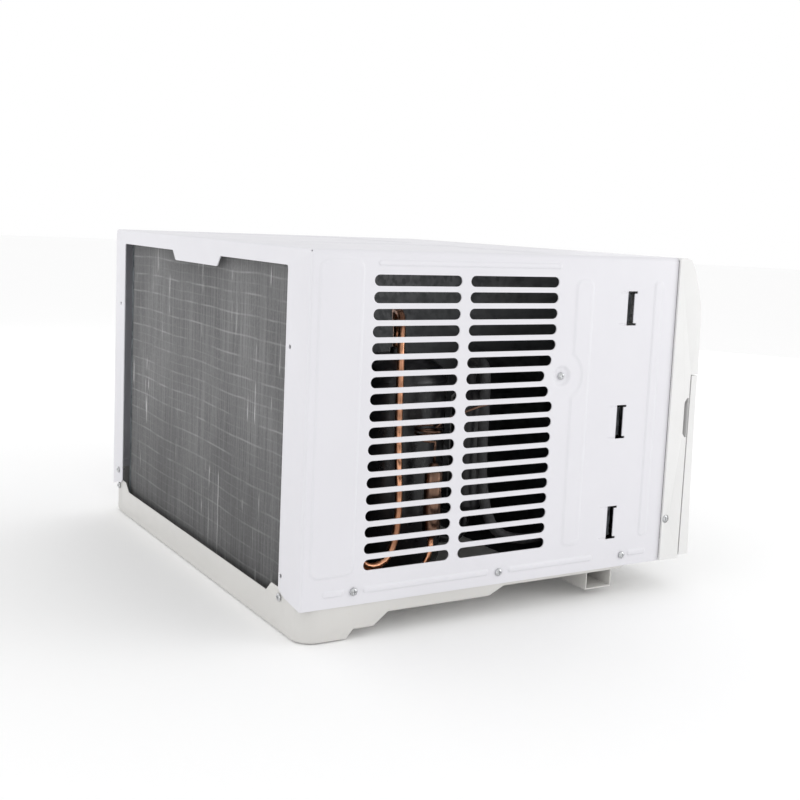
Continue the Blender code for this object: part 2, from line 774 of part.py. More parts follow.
def build_filter(material):
    """The washable air filter: a ribbed frame with a thin mesh, and a pull tab at its right end."""
    low, high = (-284.0, 50.0), (299.5, 250.0)
    frame = box((low[0], high[0]), (-222.0, -218.0), (low[1], high[1]))
    pockets = []
    columns, rows, rib = 6, 2, 6.0
    width = (292.0 - low[0] - rib) / columns
    height = (high[1] - low[1] - rib) / rows
    for column in range(columns):
        for row in range(rows):
            x = low[0] + rib + column * width
            z = low[1] + rib + row * height
            for y in ((-225.0, -220.4), (-219.6, -215.0)):
                pockets.append(box((x, x + width - rib), y, (z, z + height - rib)))
    cut(frame, merged(pockets))
    node("air_filter", frame, material, (0.0, -220.0, 150.0))


def louvre(name, z, material):
    """One horizontal outlet blade with its pivot pins and the crank that the link drives."""
    chord = LOUVRE_CHORD / 2
    blade = [
        (LOUVRE_Y - chord, z - 0.8),
        (LOUVRE_Y, z - 2.6),
        (LOUVRE_Y + chord, z - 0.8),
        (LOUVRE_Y + chord, z + 0.8),
        (LOUVRE_Y, z + 2.6),
        (LOUVRE_Y - chord, z + 0.8),
    ]
    item = prism(blade, "X", -257.0, OUTLET_X[1] - 1.0)
    fuse(item, cylinder("X", (LOUVRE_Y, z), 1.6, -273.2, 113.2, 10))
    fuse(item, box((-268.0, -265.5), (LOUVRE_Y - 1.4, LOUVRE_Y + CRANK + 1.4), (z - 1.4, z + 1.4)))
    fuse(item, cylinder("X", (LOUVRE_Y + CRANK, z), 1.0, -266.0, -259.2, 8))
    node(name, item, material, (0.0, LOUVRE_Y, z))


def vane(name, x, material):
    """One upright outlet vane with its pivot pins and link pin."""
    chord = VANE_CHORD / 2
    low, high = OUTLET_Z[0] + 4.5, OUTLET_Z[1] - 1.0
    blade = (
        (x - 0.7, VANE_Y - chord),
        (x + 0.7, VANE_Y - chord),
        (x + 1.8, VANE_Y),
        (x + 0.7, VANE_Y + chord),
        (x - 0.7, VANE_Y + chord),
        (x - 1.8, VANE_Y),
    )
    item = prism(blade, "Z", low, high)
    fuse(item, cylinder("Z", (x, VANE_Y), 1.6, OUTLET_Z[0] - 2.2, OUTLET_Z[1] + 2.2, 10))
    fuse(item, cylinder("Z", (x, VANE_Y + CRANK), 0.65, OUTLET_Z[0] + 0.8, low + 2.0, 8))
    node(name, item, material, (x, VANE_Y, 0.0))


def build_outlet(material):
    """Louvres and vanes, each set joined by a slotted link bar."""
    for index, z in enumerate(LOUVRE_Z, 1):
        louvre(f"louvre_{index}", z, material)
    middle = LOUVRE_Y + CRANK
    slots = [rounded((middle - 2.6, middle + 2.6), (z - 1.4, z + 1.4), 1.35, 2) for z in LOUVRE_Z]
    outline = rounded((middle - 4.4, middle + 4.4), (LOUVRE_Z[0] - 4.0, LOUVRE_Z[-1] + 4.0), 2.0, 2)
    link = prism(outline, "X", -264.6, -261.4, slots)
    node("louvre_link", link, material, (-263.0, middle, LOUVRE_Z[1]))
    for index, x in enumerate(VANE_X, 1):
        vane(f"vane_{index}", x, material)
    middle = VANE_Y + CRANK
    slots = [rounded((x - 1.1, x + 1.1), (middle - 2.2, middle + 2.2), 1.05, 2) for x in VANE_X]
    outline = rounded((VANE_X[0] - 7.0, VANE_X[-1] + 7.0), (middle - 4.0, middle + 4.0), 2.0, 2)
    link = prism(outline, "Z", OUTLET_Z[0] + 1.0, OUTLET_Z[0] + 3.4, slots)
    node("vane_link", link, material, (0.0, middle, OUTLET_Z[0] + 2.2))


def knob(name, spot, material):
    """A turned control knob with a raised grip bar and a stem through the panel."""
    base = PANEL_FACE - 0.6
    profile = (
        (0.0, KNOB_FRONT + 4.0),
        (13.0, KNOB_FRONT + 4.0),
        (14.5, KNOB_FRONT + 5.5),
        (15.5, base - 3.0),
        (18.0, base - 2.0),
        (18.0, base),
        (3.0, base),
        (3.0, -236.5),
        (0.0, -236.5),
    )
    item = turned(profile, "Y", spot, 24)
    grip_x = (spot[0] - 2.6, spot[0] + 2.6)
    grip_z = (spot[1] - 12.5, spot[1] + 12.5)
    fuse(item, box(grip_x, (KNOB_FRONT, base - 4.0), grip_z))
    node(name, item, material, (spot[0], base, spot[1]), smooth=True)


def build_controls(materials):
    """The control fascia with its knobs, button and vent lever, and the switches behind it."""
    plastic = materials["bezel_plastic"]
    dark = materials["dark_plastic"]
    panel = box(PANEL_X, (PANEL_FACE, PANEL_BACK), PANEL_Z)
    fuse(panel, box((137.0, 277.0), (PANEL_BACK - 0.5, -239.5), (269.0, 331.0)))
    openings = [cylinder("Y", spot, 3.6, -250.0, -230.0, 16) for spot in (TEMPERATURE_KNOB, MODE_KNOB)]
    through = (-250.0, -230.0)
    button_x, button_z = around(BUTTON[0], 7.0), around(BUTTON[1], 7.0)
    openings.append(box(button_x, through, button_z))
    openings.append(box((LEVER[0] - 5.0, LEVER[0] + 25.0), through, around(LEVER[1], 2.2)))
    cut(panel, merged(openings))
    node("control_panel", panel, plastic)
    knob("temperature_knob", TEMPERATURE_KNOB, dark)
    knob("mode_knob", MODE_KNOB, dark)
    button_outline = rounded(around(BUTTON[0], 6.5), around(BUTTON[1], 6.5), 1.5, 2)
    button = prism(button_outline, "Y", -249.3, -238.0)
    node("swing_button", button, dark, (BUTTON[0], -249.3, BUTTON[1]))
    lever = box(around(LEVER[0], 4.0), (-249.0, -236.0), around(LEVER[1], 1.8))
    fuse(lever, box(around(LEVER[0], 5.0), (-253.0, -247.0), around(LEVER[1], 5.5)))
    node("vent_lever", lever, dark, (LEVER[0], -249.0, LEVER[1]))
    for name, spot in (("thermostat_body", TEMPERATURE_KNOB), ("selector_switch", MODE_KNOB)):
        body = box(around(spot[0], 16.0), (-236.0, -208.0), around(spot[1], 15.0))
        terminals = []
        for offset in (-9.0, 0.0, 9.0):
            blade_x = around(spot[0] + offset, 3.0)
            terminals.append(box(blade_x, (-209.0, -203.0), around(spot[1], 1.0)))
        fuse(body, merged(terminals))
        node(name, body, dark)
    profile = ((6.0, 30.5), (11.5, 30.5), (11.5, 36.2), (9.0, 36.2), (9.0, 39.6), (6.0, 39.6))
    node("cord_gland", turned(profile, "Z", (262.0, -216.0), 16), dark, smooth=True)


def return_bends(x, outward, y, low, count, radius):
    """The U-bends that join the coil's tubes outside one end plate."""
    bends = []
    for index in range(count):
        middle = low + BEND_PITCH * (2 * index + 0.5)
        turn = arc((3.0, middle), BEND_PITCH / 2, -90.0, 90.0, 4)
        stations = [(-0.6, turn[0][1])] + turn + [(-0.6, turn[-1][1])]
        path = [Vector((x + outward * reach, y, z)) for reach, z in stations]
        bends.append(sweep(path, radius, 6))
    return merged(bends)


def build_coil(prefix, span_x, span_y, span_z, bends, materials):
    """A finned coil: the fin pack and an end plate with return bends at each end."""
    fins = box(span_x, span_y, span_z)
    node(f"{prefix}_fins", fins, materials["aluminium_fin"])
    middle = (span_y[0] + span_y[1]) / 2
    for suffix, face, outward in (("header_plate", span_x[0], -1.0), ("return_plate", span_x[1], 1.0)):
        low, high = sorted((face + outward * GAP, face + outward * (GAP + SHEET)))
        plate = box((low, high), (span_y[0] - 1.5, span_y[1] + 1.5), (span_z[0] - 1.0, span_z[1] + 1.0))
        first = span_z[0] + (34.0 if outward < 0 else 9.0)
        outer_face = face + outward * (GAP + SHEET)
        fuse(plate, return_bends(outer_face, outward, middle, first, bends, BEND_TUBE_RADIUS))
        node(f"{prefix}_{suffix}", plate, materials["galvanised"])


def build_shroud(material):
    """The box that ducts air from the fan orifice to the whole condenser face."""
    x, z = (-256.0, 246.0), (20.0, 378.0)
    frame = prism(
        ((x[0], z[0]), (x[1], z[0]), (x[1], z[1]), (x[0], z[1])),
        "Y",
        SHROUD_Y,
        CONDENSER_Y[0] - 2.5,
    )
    hollow = box((x[0] + 1.5, x[1] - 1.5), (SHROUD_Y + 1.5, 230.0), (z[0] + 1.5, z[1] - 1.5))
    cut(frame, hollow)
    cut(frame, cylinder("Y", SHAFT, 150.0, 150.0, 200.0, 32))
    lip = prism(circle(SHAFT, 152.0, 32), "Y", SHROUD_Y + 0.5, SHROUD_Y + 9.0, [circle(SHAFT, 150.0, 32)])
    fuse(frame, lip)
    node("fan_shroud", frame, material)


def fan_blade(turn):
    """One twisted condenser fan blade, as a thin closed solid from hub to slinger ring."""
    bm = bmesh.new()
    faces = []
    for thickness in (-1.0, 1.0):
        rows = []
        for step in range(4):
            radius = 36.0 + (143.6 - 36.0) * step / 3
            row = []
            for part in (-1.5, -0.5, 0.5, 1.5):
                angle = radians(turn + part * 15.0)
                y = 160.0 + part * (10.0 - 1.8 * step) + thickness
                x = SHAFT[0] + radius * cos(angle)
                z = SHAFT[1] + radius * sin(angle)
                row.append(bm.verts.new((x, y, z)))
            rows.append(row)
        faces.append(rows)
    for rows in faces:
        for inner, outer in zip(rows, rows[1:]):
            for index in range(3):
                bm.faces.new((inner[index], inner[index + 1], outer[index + 1], outer[index]))
    rims = []
    for rows in faces:
        far_side = [row[-1] for row in rows[1:]]
        near_side = [row[0] for row in rows[-2:0:-1]]
        rims.append(rows[0] + far_side + rows[-1][-2::-1] + near_side)
    for index in range(len(rims[0])):
        after = (index + 1) % len(rims[0])
        bm.faces.new((rims[0][index], rims[0][after], rims[1][after], rims[1][index]))
    return solid(bm)


def build_rotor(materials):
    """The shaft with the condenser fan at its outdoor end and the blower wheel at its room end."""
    shaft = cylinder("Y", SHAFT, SHAFT_RADIUS, -151.0, 176.0, 12)
    node("fan_shaft", shaft, materials["steel_shaft"], (SHAFT[0], 0.0, SHAFT[1]), smooth=True)
    hub = turned(((BORE_RADIUS, 138.0), (38.0, 140.0), (38.0, 176.0), (BORE_RADIUS, 176.0)), "Y", SHAFT, 20)
    for index in range(5):
        fuse(hub, fan_blade(72.0 * index))
    ring = turned(((142.5, 160.0), (146.0, 160.0), (146.0, 180.0), (142.5, 180.0)), "Y", SHAFT, 32)
    fuse(hub, ring)
    node("condenser_fan", hub, materials["fan_plastic"], (SHAFT[0], 160.0, SHAFT[1]), smooth=True)
    profile = (
        (BORE_RADIUS, -112.0),
        (14.0, -112.0),
        (18.0, -84.0),
        (82.0, -82.5),
        (82.0, -150.0),
        (96.0, -150.0),
        (96.0, -78.0),
        (BORE_RADIUS, -78.0),
    )
    wheel = turned(profile, "Y", SHAFT, 24)
    gaps = []
    for index in range(24):
        angle = 360.0 * (index + 0.5) / 24
        inner = arc(SHAFT, 78.0, angle - 4.6, angle + 4.6, 1)
        outer = arc(SHAFT, 100.0, angle - 4.6, angle + 4.6, 1)
        gaps.append(prism(inner + outer[::-1], "Y", -146.0, -84.0))
    cut(wheel, merged(gaps))
    node("blower_wheel", wheel, materials["fan_plastic"], (SHAFT[0], -115.0, SHAFT[1]), smooth=True)


def build_motor(materials):
    """The double-shaft motor and the sheet cradle that stands it on the pan."""
    profile = (
        (BORE_RADIUS, 18.0),
        (16.0, 18.0),
        (16.0, 28.0),
        (50.0, 32.0),
        (62.0, 42.0),
        (62.0, 96.0),
        (50.0, 106.0),
        (16.0, 110.0),
        (16.0, 120.0),
        (BORE_RADIUS, 120.0),
    )
    motor = turned(profile, "Y", SHAFT, 20)
    node("fan_motor", motor, materials["black_enamel"], smooth=True)
    base = PAN_MIDDLE_FLOOR + GAP
    cradle = arc(SHAFT, 62.6, -40.0, -140.0, 10)
    outline = [(-8.0, base), (108.0, base), (104.0, base + 40.0)] + cradle + [(-4.0, base + 40.0)]
    plates = [prism(outline, "Y", y, y + 2.0) for y in (50.0, 86.0)]
    bracket = box((-14.0, 114.0), (44.0, 94.0), (base, base + 2.0))
    fuse(bracket, *plates)
    node("motor_bracket", bracket, materials["galvanised"])


def build_bulkhead(materials):
    """The wall between the outdoor and room sections, with its side flanges and vent damper."""
    half = PAN_HALF_WIDTH - 2.5
    bottom, top = PAN_FRONT_FLOOR + 0.4, CABINET_TOP - 4.0
    toe = bottom + PAN_EDGE_RADIUS
    outline = (
        (PAN_EDGE_RADIUS - half, bottom),
        (half - PAN_EDGE_RADIUS, bottom),
        (half, toe),
        (half, top),
        (-half, top),
        (-half, toe),
    )
    holes = [circle(SHAFT, 12.0, 16), circle((-272.0, 74.0), 9.0, 12), circle((-272.0, 232.0), 5.0, 8)]
    holes.append(((206.0, 350.0), (254.0, 350.0), (254.0, 372.0), (206.0, 372.0)))
    wall = prism(outline, "Y", BULKHEAD_Y, BULKHEAD_Y + SHEET, holes)
    for side in (-1.0, 1.0):
        span = side_span(side, half - SHEET, half - 0.05)
        flange = box(span, (BULKHEAD_Y + 0.3, -36.0), (toe + 0.3, top - 0.3))
        cut(flange, cylinder("X", BOSS, SCREW_HOLE_RADIUS, -300.0, 300.0, 8))
        fuse(wall, flange)
    node("bulkhead", wall, materials["galvanised"])
    flap = box((202.0, 258.0), (-54.4, -53.2), (347.0, 374.5))
    fuse(flap, cylinder("X", DAMPER_HINGE, 1.4, 202.0, 258.0, 8))
    node("vent_damper", flap, materials["galvanised"], (230.0, *DAMPER_HINGE))


def build_scroll(material):
    """The moulded foam scroll: a spiral round the blower that opens into a duct to the outlet."""
    housing = box((-88.0, 188.0), (-166.0, -58.0), (50.0, 262.0))
    duct_x = (OUTLET_X[0] - 7.0, OUTLET_X[1] + 7.0)
    duct_z = (OUTLET_Z[0] - 9.0, OUTLET_Z[1] + 7.0)
    fuse(housing, box(duct_x, (-178.0, -58.5), duct_z))
    spiral = []
    for step in range(24):
        angle = radians(80.0 - 15.0 * step)
        radius = 104.0 + 16.0 * step / 23
        spiral.append((SHAFT[0] + radius * cos(angle), SHAFT[1] + radius * sin(angle)))
    cut(housing, prism(spiral, "Y", -160.0, -64.0))
    cut(housing, box(OUTLET_X, (-190.0, -64.5), OUTLET_Z))
    cut(housing, box((-60.0, 90.0), (-160.5, -64.2), (250.0, 280.0)))
    cut(housing, cylinder("Y", SHAFT, 80.0, -170.0, -155.0, 28))
    cut(housing, cylinder("Y", SHAFT, 12.0, -70.0, -50.0, 12))
    node("scroll_housing", housing, material)


def build_tray(material):
    """The drip tray under the evaporator."""
    tray = box((-286.0, 286.0), (-217.5, -174.0), (40.0, 57.0))
    cut(tray, box((-284.0, 284.0), (-215.5, -176.0), (42.0, 60.0)))
    node("drip_tray", tray, material)


def build_compressor(materials):
    """The compressor on its three rubber mounts, with the accumulator beside it."""
    low = PAN_MIDDLE_FLOOR + GAP
    plate_low = low + 14.0 + GAP
    x, y = COMPRESSOR
    feet = []
    for angle in FOOT_ANGLES:
        spot = (x + FOOT_RADIUS * cos(radians(angle)), y + FOOT_RADIUS * sin(radians(angle)))
        feet.append(spot)
    lobes = []
    for angle, spot in zip(FOOT_ANGLES, feet):
        lobes += arc(spot, 11.0, angle - 70.0, angle + 70.0, 4)
    plate = prism(lobes, "Z", plate_low, plate_low + 3.0, [circle(spot, 5.0, 8) for spot in feet])
    r = COMPRESSOR_RADIUS
    profile = (
        (0.0, plate_low + 1.5),
        (r * 0.75, plate_low + 1.5),
        (r * 0.92, plate_low + 6.0),
        (r, plate_low + 16.0),
        (r, 246.0),
        (r + 1.0, 248.0),
        (r * 0.93, 258.0),
        (r * 0.7, 268.0),
        (r * 0.35, 273.0),
        (7.0, 274.0),
        (7.0, 280.0),
        (0.0, 280.0),
    )
    shell = turned(profile, "Z", COMPRESSOR, 16)
    fuse(shell, plate)
    node("compressor", shell, materials["black_enamel"], smooth=True)
    for index, spot in enumerate(feet, 1):
        profile = (
            (4.0, low),
            (10.0, low),
            (10.0, low + 5.0),
            (7.5, low + 7.0),
            (10.0, low + 9.0),
            (10.0, low + 14.0),
            (4.0, low + 14.0),
        )
        grommet = turned(profile, "Z", spot, 12)
        node(f"compressor_grommet_{index}", grommet, materials["rubber"], smooth=True)
    angle = radians(250.0)
    toward = Vector((cos(angle), sin(angle), 0.0))
    middle = Vector((x, y, 0.0)) + toward * 86.0
    spot = (middle.x, middle.y)
    profile = ((0.0, 95.0), (8.0, 95.0), (21.0, 106.0), (21.0, 226.0), (8.0, 240.0), (0.0, 240.0))
    vessel = turned(profile, "Z", spot, 16)
    start = middle + Vector((0.0, 0.0, 98.0))
    inlet = Vector((x, y, 66.0)) + toward * (COMPRESSOR_RADIUS + 1.2)
    bend = [start, start - Vector((0.0, 0.0, 20.0)), inlet + toward * 16.0, inlet]
    fuse(vessel, sweep(smooth_path(bend, 3), 5.0, 8))
    node("accumulator", vessel, materials["black_enamel"], smooth=True)
    return spot


def build_tubing(accumulator, materials):
    """The refrigerant circuit's copper, routed as one run from each part to the next."""
    copper = materials["copper"]
    x, y = COMPRESSOR
    header = CONDENSER_X[0] - GAP - SHEET - GAP
    discharge = [
        (x, y, 280.4),
        (x, y, 288.0),
        (x, y, 300.0),
        (-216.0, 118.0, 322.0),
        (-252.0, 132.0, 318.0),
        (-270.0, 142.0, 280.0),
        (-272.0, 142.0, 200.0),
        (-272.0, 138.0, 120.0),
        (-272.0, 146.0, 76.0),
        (-276.0, 170.0, 66.0),
        (-280.0, 190.0, 84.0),
        (-283.0, 196.0, 140.0),
        (-285.0, 200.0, 260.0),
        (-286.0, 214.0, 352.0),
        (-278.0, 231.0, 366.0),
        (-270.0, 231.0, 366.0),
        (header, 231.0, 366.0),
    ]
    node("discharge_tube", sweep(smooth_path(discharge), 4.0), copper, smooth=True)
    liquid = [
        (header, 222.0, 24.0),
        (-274.0, 222.0, 24.0),
        (-280.0, 214.0, 30.0),
        (-280.0, 200.0, 44.0),
        (-278.0, 176.0, 60.0),
        (-276.0, 156.0, 52.0),
        (-278.0, 120.0, 50.0),
        (-280.0, 104.0, 70.0),
        (-280.0, 102.0, 89.7),
    ]
    node("liquid_tube", sweep(smooth_path(liquid), 3.2), copper, smooth=True)
    profile = ((0.0, 90.0), (4.0, 90.0), (9.5, 99.0), (9.5, 160.0), (4.0, 170.0), (0.0, 170.0))
    node("filter_drier", turned(profile, "Z", (-280.0, 102.0), 14), copper, smooth=True)
    capillary = [Vector((-280.0, 102.0, 170.4)), Vector((-280.0, 102.0, 186.0))]
    turns, steps = 3, 10
    for step in range(turns * steps + 1):
        angle = 2 * pi * step / steps
        spot = Vector((-266.0 - 14.0 * cos(angle), 102.0 + 14.0 * sin(angle), 192.0 + 5.0 * step / steps))
        capillary.append(spot)
    along_cabinet = [
        (-280.0, 92.0, 214.0),
        (-274.0, 30.0, 228.0),
        (-272.0, -56.0, 232.0),
        (-270.0, -150.0, 232.0),
    ]
    capillary += smooth_path(along_cabinet, 4)
    evaporator_header = EVAPORATOR_X[0] - GAP - SHEET - GAP
    into_header = [
        (-269.0, -184.0, 234.0),
        (-267.0, -192.0, 239.0),
        (-263.0, -192.0, 240.0),
        (evaporator_header, -192.0, 240.0),
    ]
    capillary += smooth_path(into_header, 3)
    node("capillary_tube", sweep(capillary, 1.5, 6), copper, smooth=True)
    suction = [
        (evaporator_header, -202.0, 62.0),
        (-262.0, -202.0, 62.0),
        (-265.0, -202.0, 62.0),
        (-272.0, -195.0, 62.0),
        (-273.0, -176.0, 66.0),
        (-272.0, -120.0, 74.0),
        (-272.0, -56.0, 74.0),
        (-272.0, -10.0, 76.0),
        (-268.0, 18.0, 96.0),
        (-264.0, 30.0, 150.0),
        (-262.0, 30.0, 240.0),
        (-252.0, 26.0, 266.0),
        (accumulator[0] - 6.0, accumulator[1], 268.0),
        (accumulator[0], accumulator[1], 254.0),
        (accumulator[0], accumulator[1], 240.4),
    ]
    node("suction_tube", sweep(smooth_path(suction), 6.0), copper, smooth=True)


def build_electrics(materials):
    """The open-fronted control box behind the fascia and the run capacitor in it."""
    case = box((126.0, 288.0), (-200.0, -100.0), (262.0, 344.0))
    cut(case, box((127.2, 286.8), (-205.0, -101.2), (263.2, 342.8)))
    node("control_box", case, materials["galvanised"])
    profile = ((0.0, 150.0), (20.0, 150.0), (20.0, 236.0), (14.0, 236.0), (14.0, 239.0), (0.0, 239.0))
    capacitor = turned(profile, "X", (-140.0, 290.0), 18)
    lugs = [box((238.0, 246.0), (-140.0 + y - 3.0, -140.0 + y + 3.0), (289.5, 290.5)) for y in (-7.0, 7.0)]
    fuse(capacitor, merged(lugs))
    node("run_capacitor", capacitor, materials["aluminium_fin"], smooth=True)


def main():
    """Build every piece."""
    clear_scene()
    materials = make_materials()
    build_base_pan(materials["pan_paint"])
    build_sill_rail(materials["pan_paint"])
    build_cabinet(materials["cabinet_paint"])
    build_screws(materials["zinc_screw"])
    build_bezel(materials["bezel_plastic"])
    build_grille(materials["bezel_plastic"])
    build_filter(materials["filter_mesh"])
    build_outlet(materials["bezel_plastic"])
    build_controls(materials)
    build_coil("condenser", CONDENSER_X, CONDENSER_Y, CONDENSER_Z, 6, materials)
    build_coil("evaporator", EVAPORATOR_X, EVAPORATOR_Y, EVAPORATOR_Z, 3, materials)
    build_shroud(materials["galvanised"])
    build_rotor(materials)
    build_motor(materials)
    build_bulkhead(materials)
    build_scroll(materials["foam"])
    build_tray(materials["foam"])
    accumulator = build_compressor(materials)
    build_tubing(accumulator, materials)
    build_electrics(materials)


main()
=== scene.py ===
"""Window air conditioner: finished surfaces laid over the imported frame.

Lengths are metres in the frame's own axes: the room front faces -Y, the finned back faces +Y and
+Z is up. Each sub-assembly is a class with its sizes as fields. Sheet-metal shells are surfaces of
two parameters, cut by their openings, displaced by pressed ribs and closed to a wall thickness.
"""

from __future__ import annotations

import json
import logging
from dataclasses import dataclass, field
from enum import Enum
from math import pi, radians, sqrt

import bmesh
import bpy
import numpy as np
from mathutils import Matrix, Vector
from mathutils.geometry import delaunay_2d_cdt
from numpy.typing import NDArray

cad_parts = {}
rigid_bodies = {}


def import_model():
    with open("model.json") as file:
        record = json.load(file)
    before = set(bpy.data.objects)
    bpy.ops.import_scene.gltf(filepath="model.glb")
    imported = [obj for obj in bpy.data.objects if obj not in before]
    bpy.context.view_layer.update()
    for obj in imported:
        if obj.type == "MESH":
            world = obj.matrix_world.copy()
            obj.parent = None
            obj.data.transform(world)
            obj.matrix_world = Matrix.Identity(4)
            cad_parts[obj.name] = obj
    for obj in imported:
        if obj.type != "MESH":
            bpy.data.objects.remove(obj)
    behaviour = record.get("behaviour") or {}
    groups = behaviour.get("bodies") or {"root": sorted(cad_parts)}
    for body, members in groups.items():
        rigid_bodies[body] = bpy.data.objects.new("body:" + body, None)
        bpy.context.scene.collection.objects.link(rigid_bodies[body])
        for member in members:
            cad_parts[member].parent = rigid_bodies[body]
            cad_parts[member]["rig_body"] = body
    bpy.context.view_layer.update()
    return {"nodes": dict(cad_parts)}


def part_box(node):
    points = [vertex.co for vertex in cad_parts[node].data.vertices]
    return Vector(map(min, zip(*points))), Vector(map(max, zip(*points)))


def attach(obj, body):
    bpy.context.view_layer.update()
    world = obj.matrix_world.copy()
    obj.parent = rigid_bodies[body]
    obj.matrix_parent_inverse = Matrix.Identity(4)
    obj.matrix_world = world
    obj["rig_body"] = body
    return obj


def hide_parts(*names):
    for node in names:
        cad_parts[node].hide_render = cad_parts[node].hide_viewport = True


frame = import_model()

LOG = logging.getLogger("window_unit")
Floats = NDArray[np.float64]
Ints = NDArray[np.int64]
Span = tuple[float, float]
Colour = tuple[float, float, float]
Place = tuple[float, float, float]
Socket = bpy.types.NodeSocket


class Slot(Enum):
    """Material slots of the record, one for each finish on the object."""

    CABINET = "cabinet_paint"
    PAN = "pan_paint"
    BEZEL = "bezel_plastic"
    DARK = "dark_plastic"
    FILTER = "filter_mesh"
    ZINC = "galvanised"
    SCREW = "zinc_screw"
    FIN = "aluminium_fin"
    COPPER = "copper"
    ENAMEL = "black_enamel"
    RUBBER = "rubber"
    FOAM = "foam"
    FAN = "fan_plastic"
    SHAFT = "steel_shaft"


class Side(Enum):
    """The two cabinet sides, by the sign of X."""

    LEFT = -1.0
    RIGHT = 1.0


# ---- Node graphs ----


class Graph:
    """One procedural material and the few node patterns that its finish is wired from."""

    def __init__(self, name: str) -> None:
        """Start a Principled material.

        Args:
            name: the material's name.
        """
        self.material = bpy.data.materials.new(name)
        self.material.use_nodes = True
        self.tree = self.material.node_tree
        self.shader = self.tree.nodes["Principled BSDF"]

    def add(self, kind: str, links: dict[int | str, object], **settings: object) -> bpy.types.Node:
        """Add a node.

        Args:
            kind: the node's class name.
            links: input name or number to a socket to link, or to a plain value.
            settings: attributes to set on the node.

        Returns:
            The new node.
        """
        node = self.tree.nodes.new(kind)
        for key, value in settings.items():
            setattr(node, key, value)
        for key, value in links.items():
            if isinstance(value, bpy.types.NodeSocket):
                self.tree.links.new(value, node.inputs[key])
            else:
                node.inputs[key].default_value = value
        return node

    def place(self, stretch: Place = (1.0, 1.0, 1.0)) -> Socket:
        """The object's own coordinates, stretched by a factor on each axis."""
        where = self.add("ShaderNodeTexCoord", {}).outputs["Object"]
        return self.add("ShaderNodeMapping", {"Vector": where, "Scale": stretch}).outputs["Vector"]

    def noise(self, place: Socket, scale: float, detail: float = 3.0) -> Socket:
        """Fractal noise near 0.5 on average, of so many cells per metre and so many octaves."""
        settings = {"Vector": place, "Scale": scale, "Detail": detail}
        return self.add("ShaderNodeTexNoise", settings).outputs["Fac"]

    def cells(self, place: Socket, scale: float, output: str) -> Socket:
        """One output of a Voronoi pattern of so many cells per metre."""
        return self.add("ShaderNodeTexVoronoi", {"Vector": place, "Scale": scale}).outputs[output]

    def ridge(self, letter: str, pitch: float) -> Socket:
        """Distance from the middle of each stretch of one pitch along an axis: |fract(x / pitch) - 0.5|."""
        phase = self.math("FRACT", self.math("DIVIDE", self.axis(letter), pitch))
        return self.math("ABSOLUTE", self.math("SUBTRACT", phase, 0.5))

    def remap(self, value: Socket, source: Span, target: Span) -> Socket:
        """Carry one range to another, clamped.

        Args:
            value: the input value.
            source: the range read from.
            target: the range written to.

        Returns:
            The result socket.
        """
        ends = {"From Min": source[0], "From Max": source[1], "To Min": target[0], "To Max": target[1]}
        return self.add("ShaderNodeMapRange", {"Value": value, **ends}).outputs["Result"]

    def math(self, operation: str, first: object, second: object = 0.0) -> Socket:
        """One scalar operation on two values."""
        return self.add("ShaderNodeMath", {0: first, 1: second}, operation=operation).outputs["Value"]

    def mix(self, factor: Socket, first: object, second: object) -> Socket:
        """Blend two colours or sockets: factor 0 gives the first, 1 the second."""
        ends = [(*end, 1.0) if isinstance(end, tuple) else end for end in (first, second)]
        return self.add("ShaderNodeMix", {0: factor, 6: ends[0], 7: ends[1]}, data_type="RGBA").outputs[2]

    def fade(self, value: Socket, source: Span, most: float, first: object, second: object) -> Socket:
        """Go from one colour towards another as a value crosses a range.

        Args:
            value: the input value.
            source: the range it crosses.
            most: the second colour's share at the range's end.
            first: the colour at its start.
            second: the colour gone towards.

        Returns:
            The colour socket.
        """
        return self.mix(self.remap(value, source, (0.0, most)), first, second)

    def axis(self, name: str) -> Socket:
        """One object coordinate, by its letter."""
        where = self.add("ShaderNodeTexCoord", {}).outputs["Object"]
        return self.add("ShaderNodeSeparateXYZ", {"Vector": where}).outputs[name]

    def colour(self, value: object) -> None:
        """Set or link the base colour."""
        if isinstance(value, tuple):
            self.shader.inputs["Base Color"].default_value = (*value, 1.0)
        else:
            self.tree.links.new(value, self.shader.inputs["Base Color"])

    def rough(self, value: Socket, low: float, high: float, source: Span = (0.3, 0.7)) -> None:
        """Carry a value's range to the roughness."""
        self.tree.links.new(self.remap(value, source, (low, high)), self.shader.inputs["Roughness"])

    def relief(self, heights: list[tuple[Socket, float]]) -> None:
        """Link bumps one after another.

        Args:
            heights: pairs of a 0 to 1 height and its depth in metres.
        """
        normal = None
        for height, depth in heights:
            links: dict[int | str, object] = {"Height": height, "Distance": depth, "Strength": 1.0}
            if normal is not None:
                links["Normal"] = normal
            normal = self.add("ShaderNodeBump", links).outputs["Normal"]
        self.tree.links.new(normal, self.shader.inputs["Normal"])

    def set(self, **values: float) -> None:
        """Set plain values on the shader, with underscores for spaces in its input names."""
        for key, value in values.items():
            self.shader.inputs[key.replace("_", " ")].default_value = value


def scaled(colour: Colour, factor: float) -> Colour:
    """A colour made lighter or darker by a factor."""
    return (colour[0] * factor, colour[1] * factor, colour[2] * factor)


# ---- Finishes ----


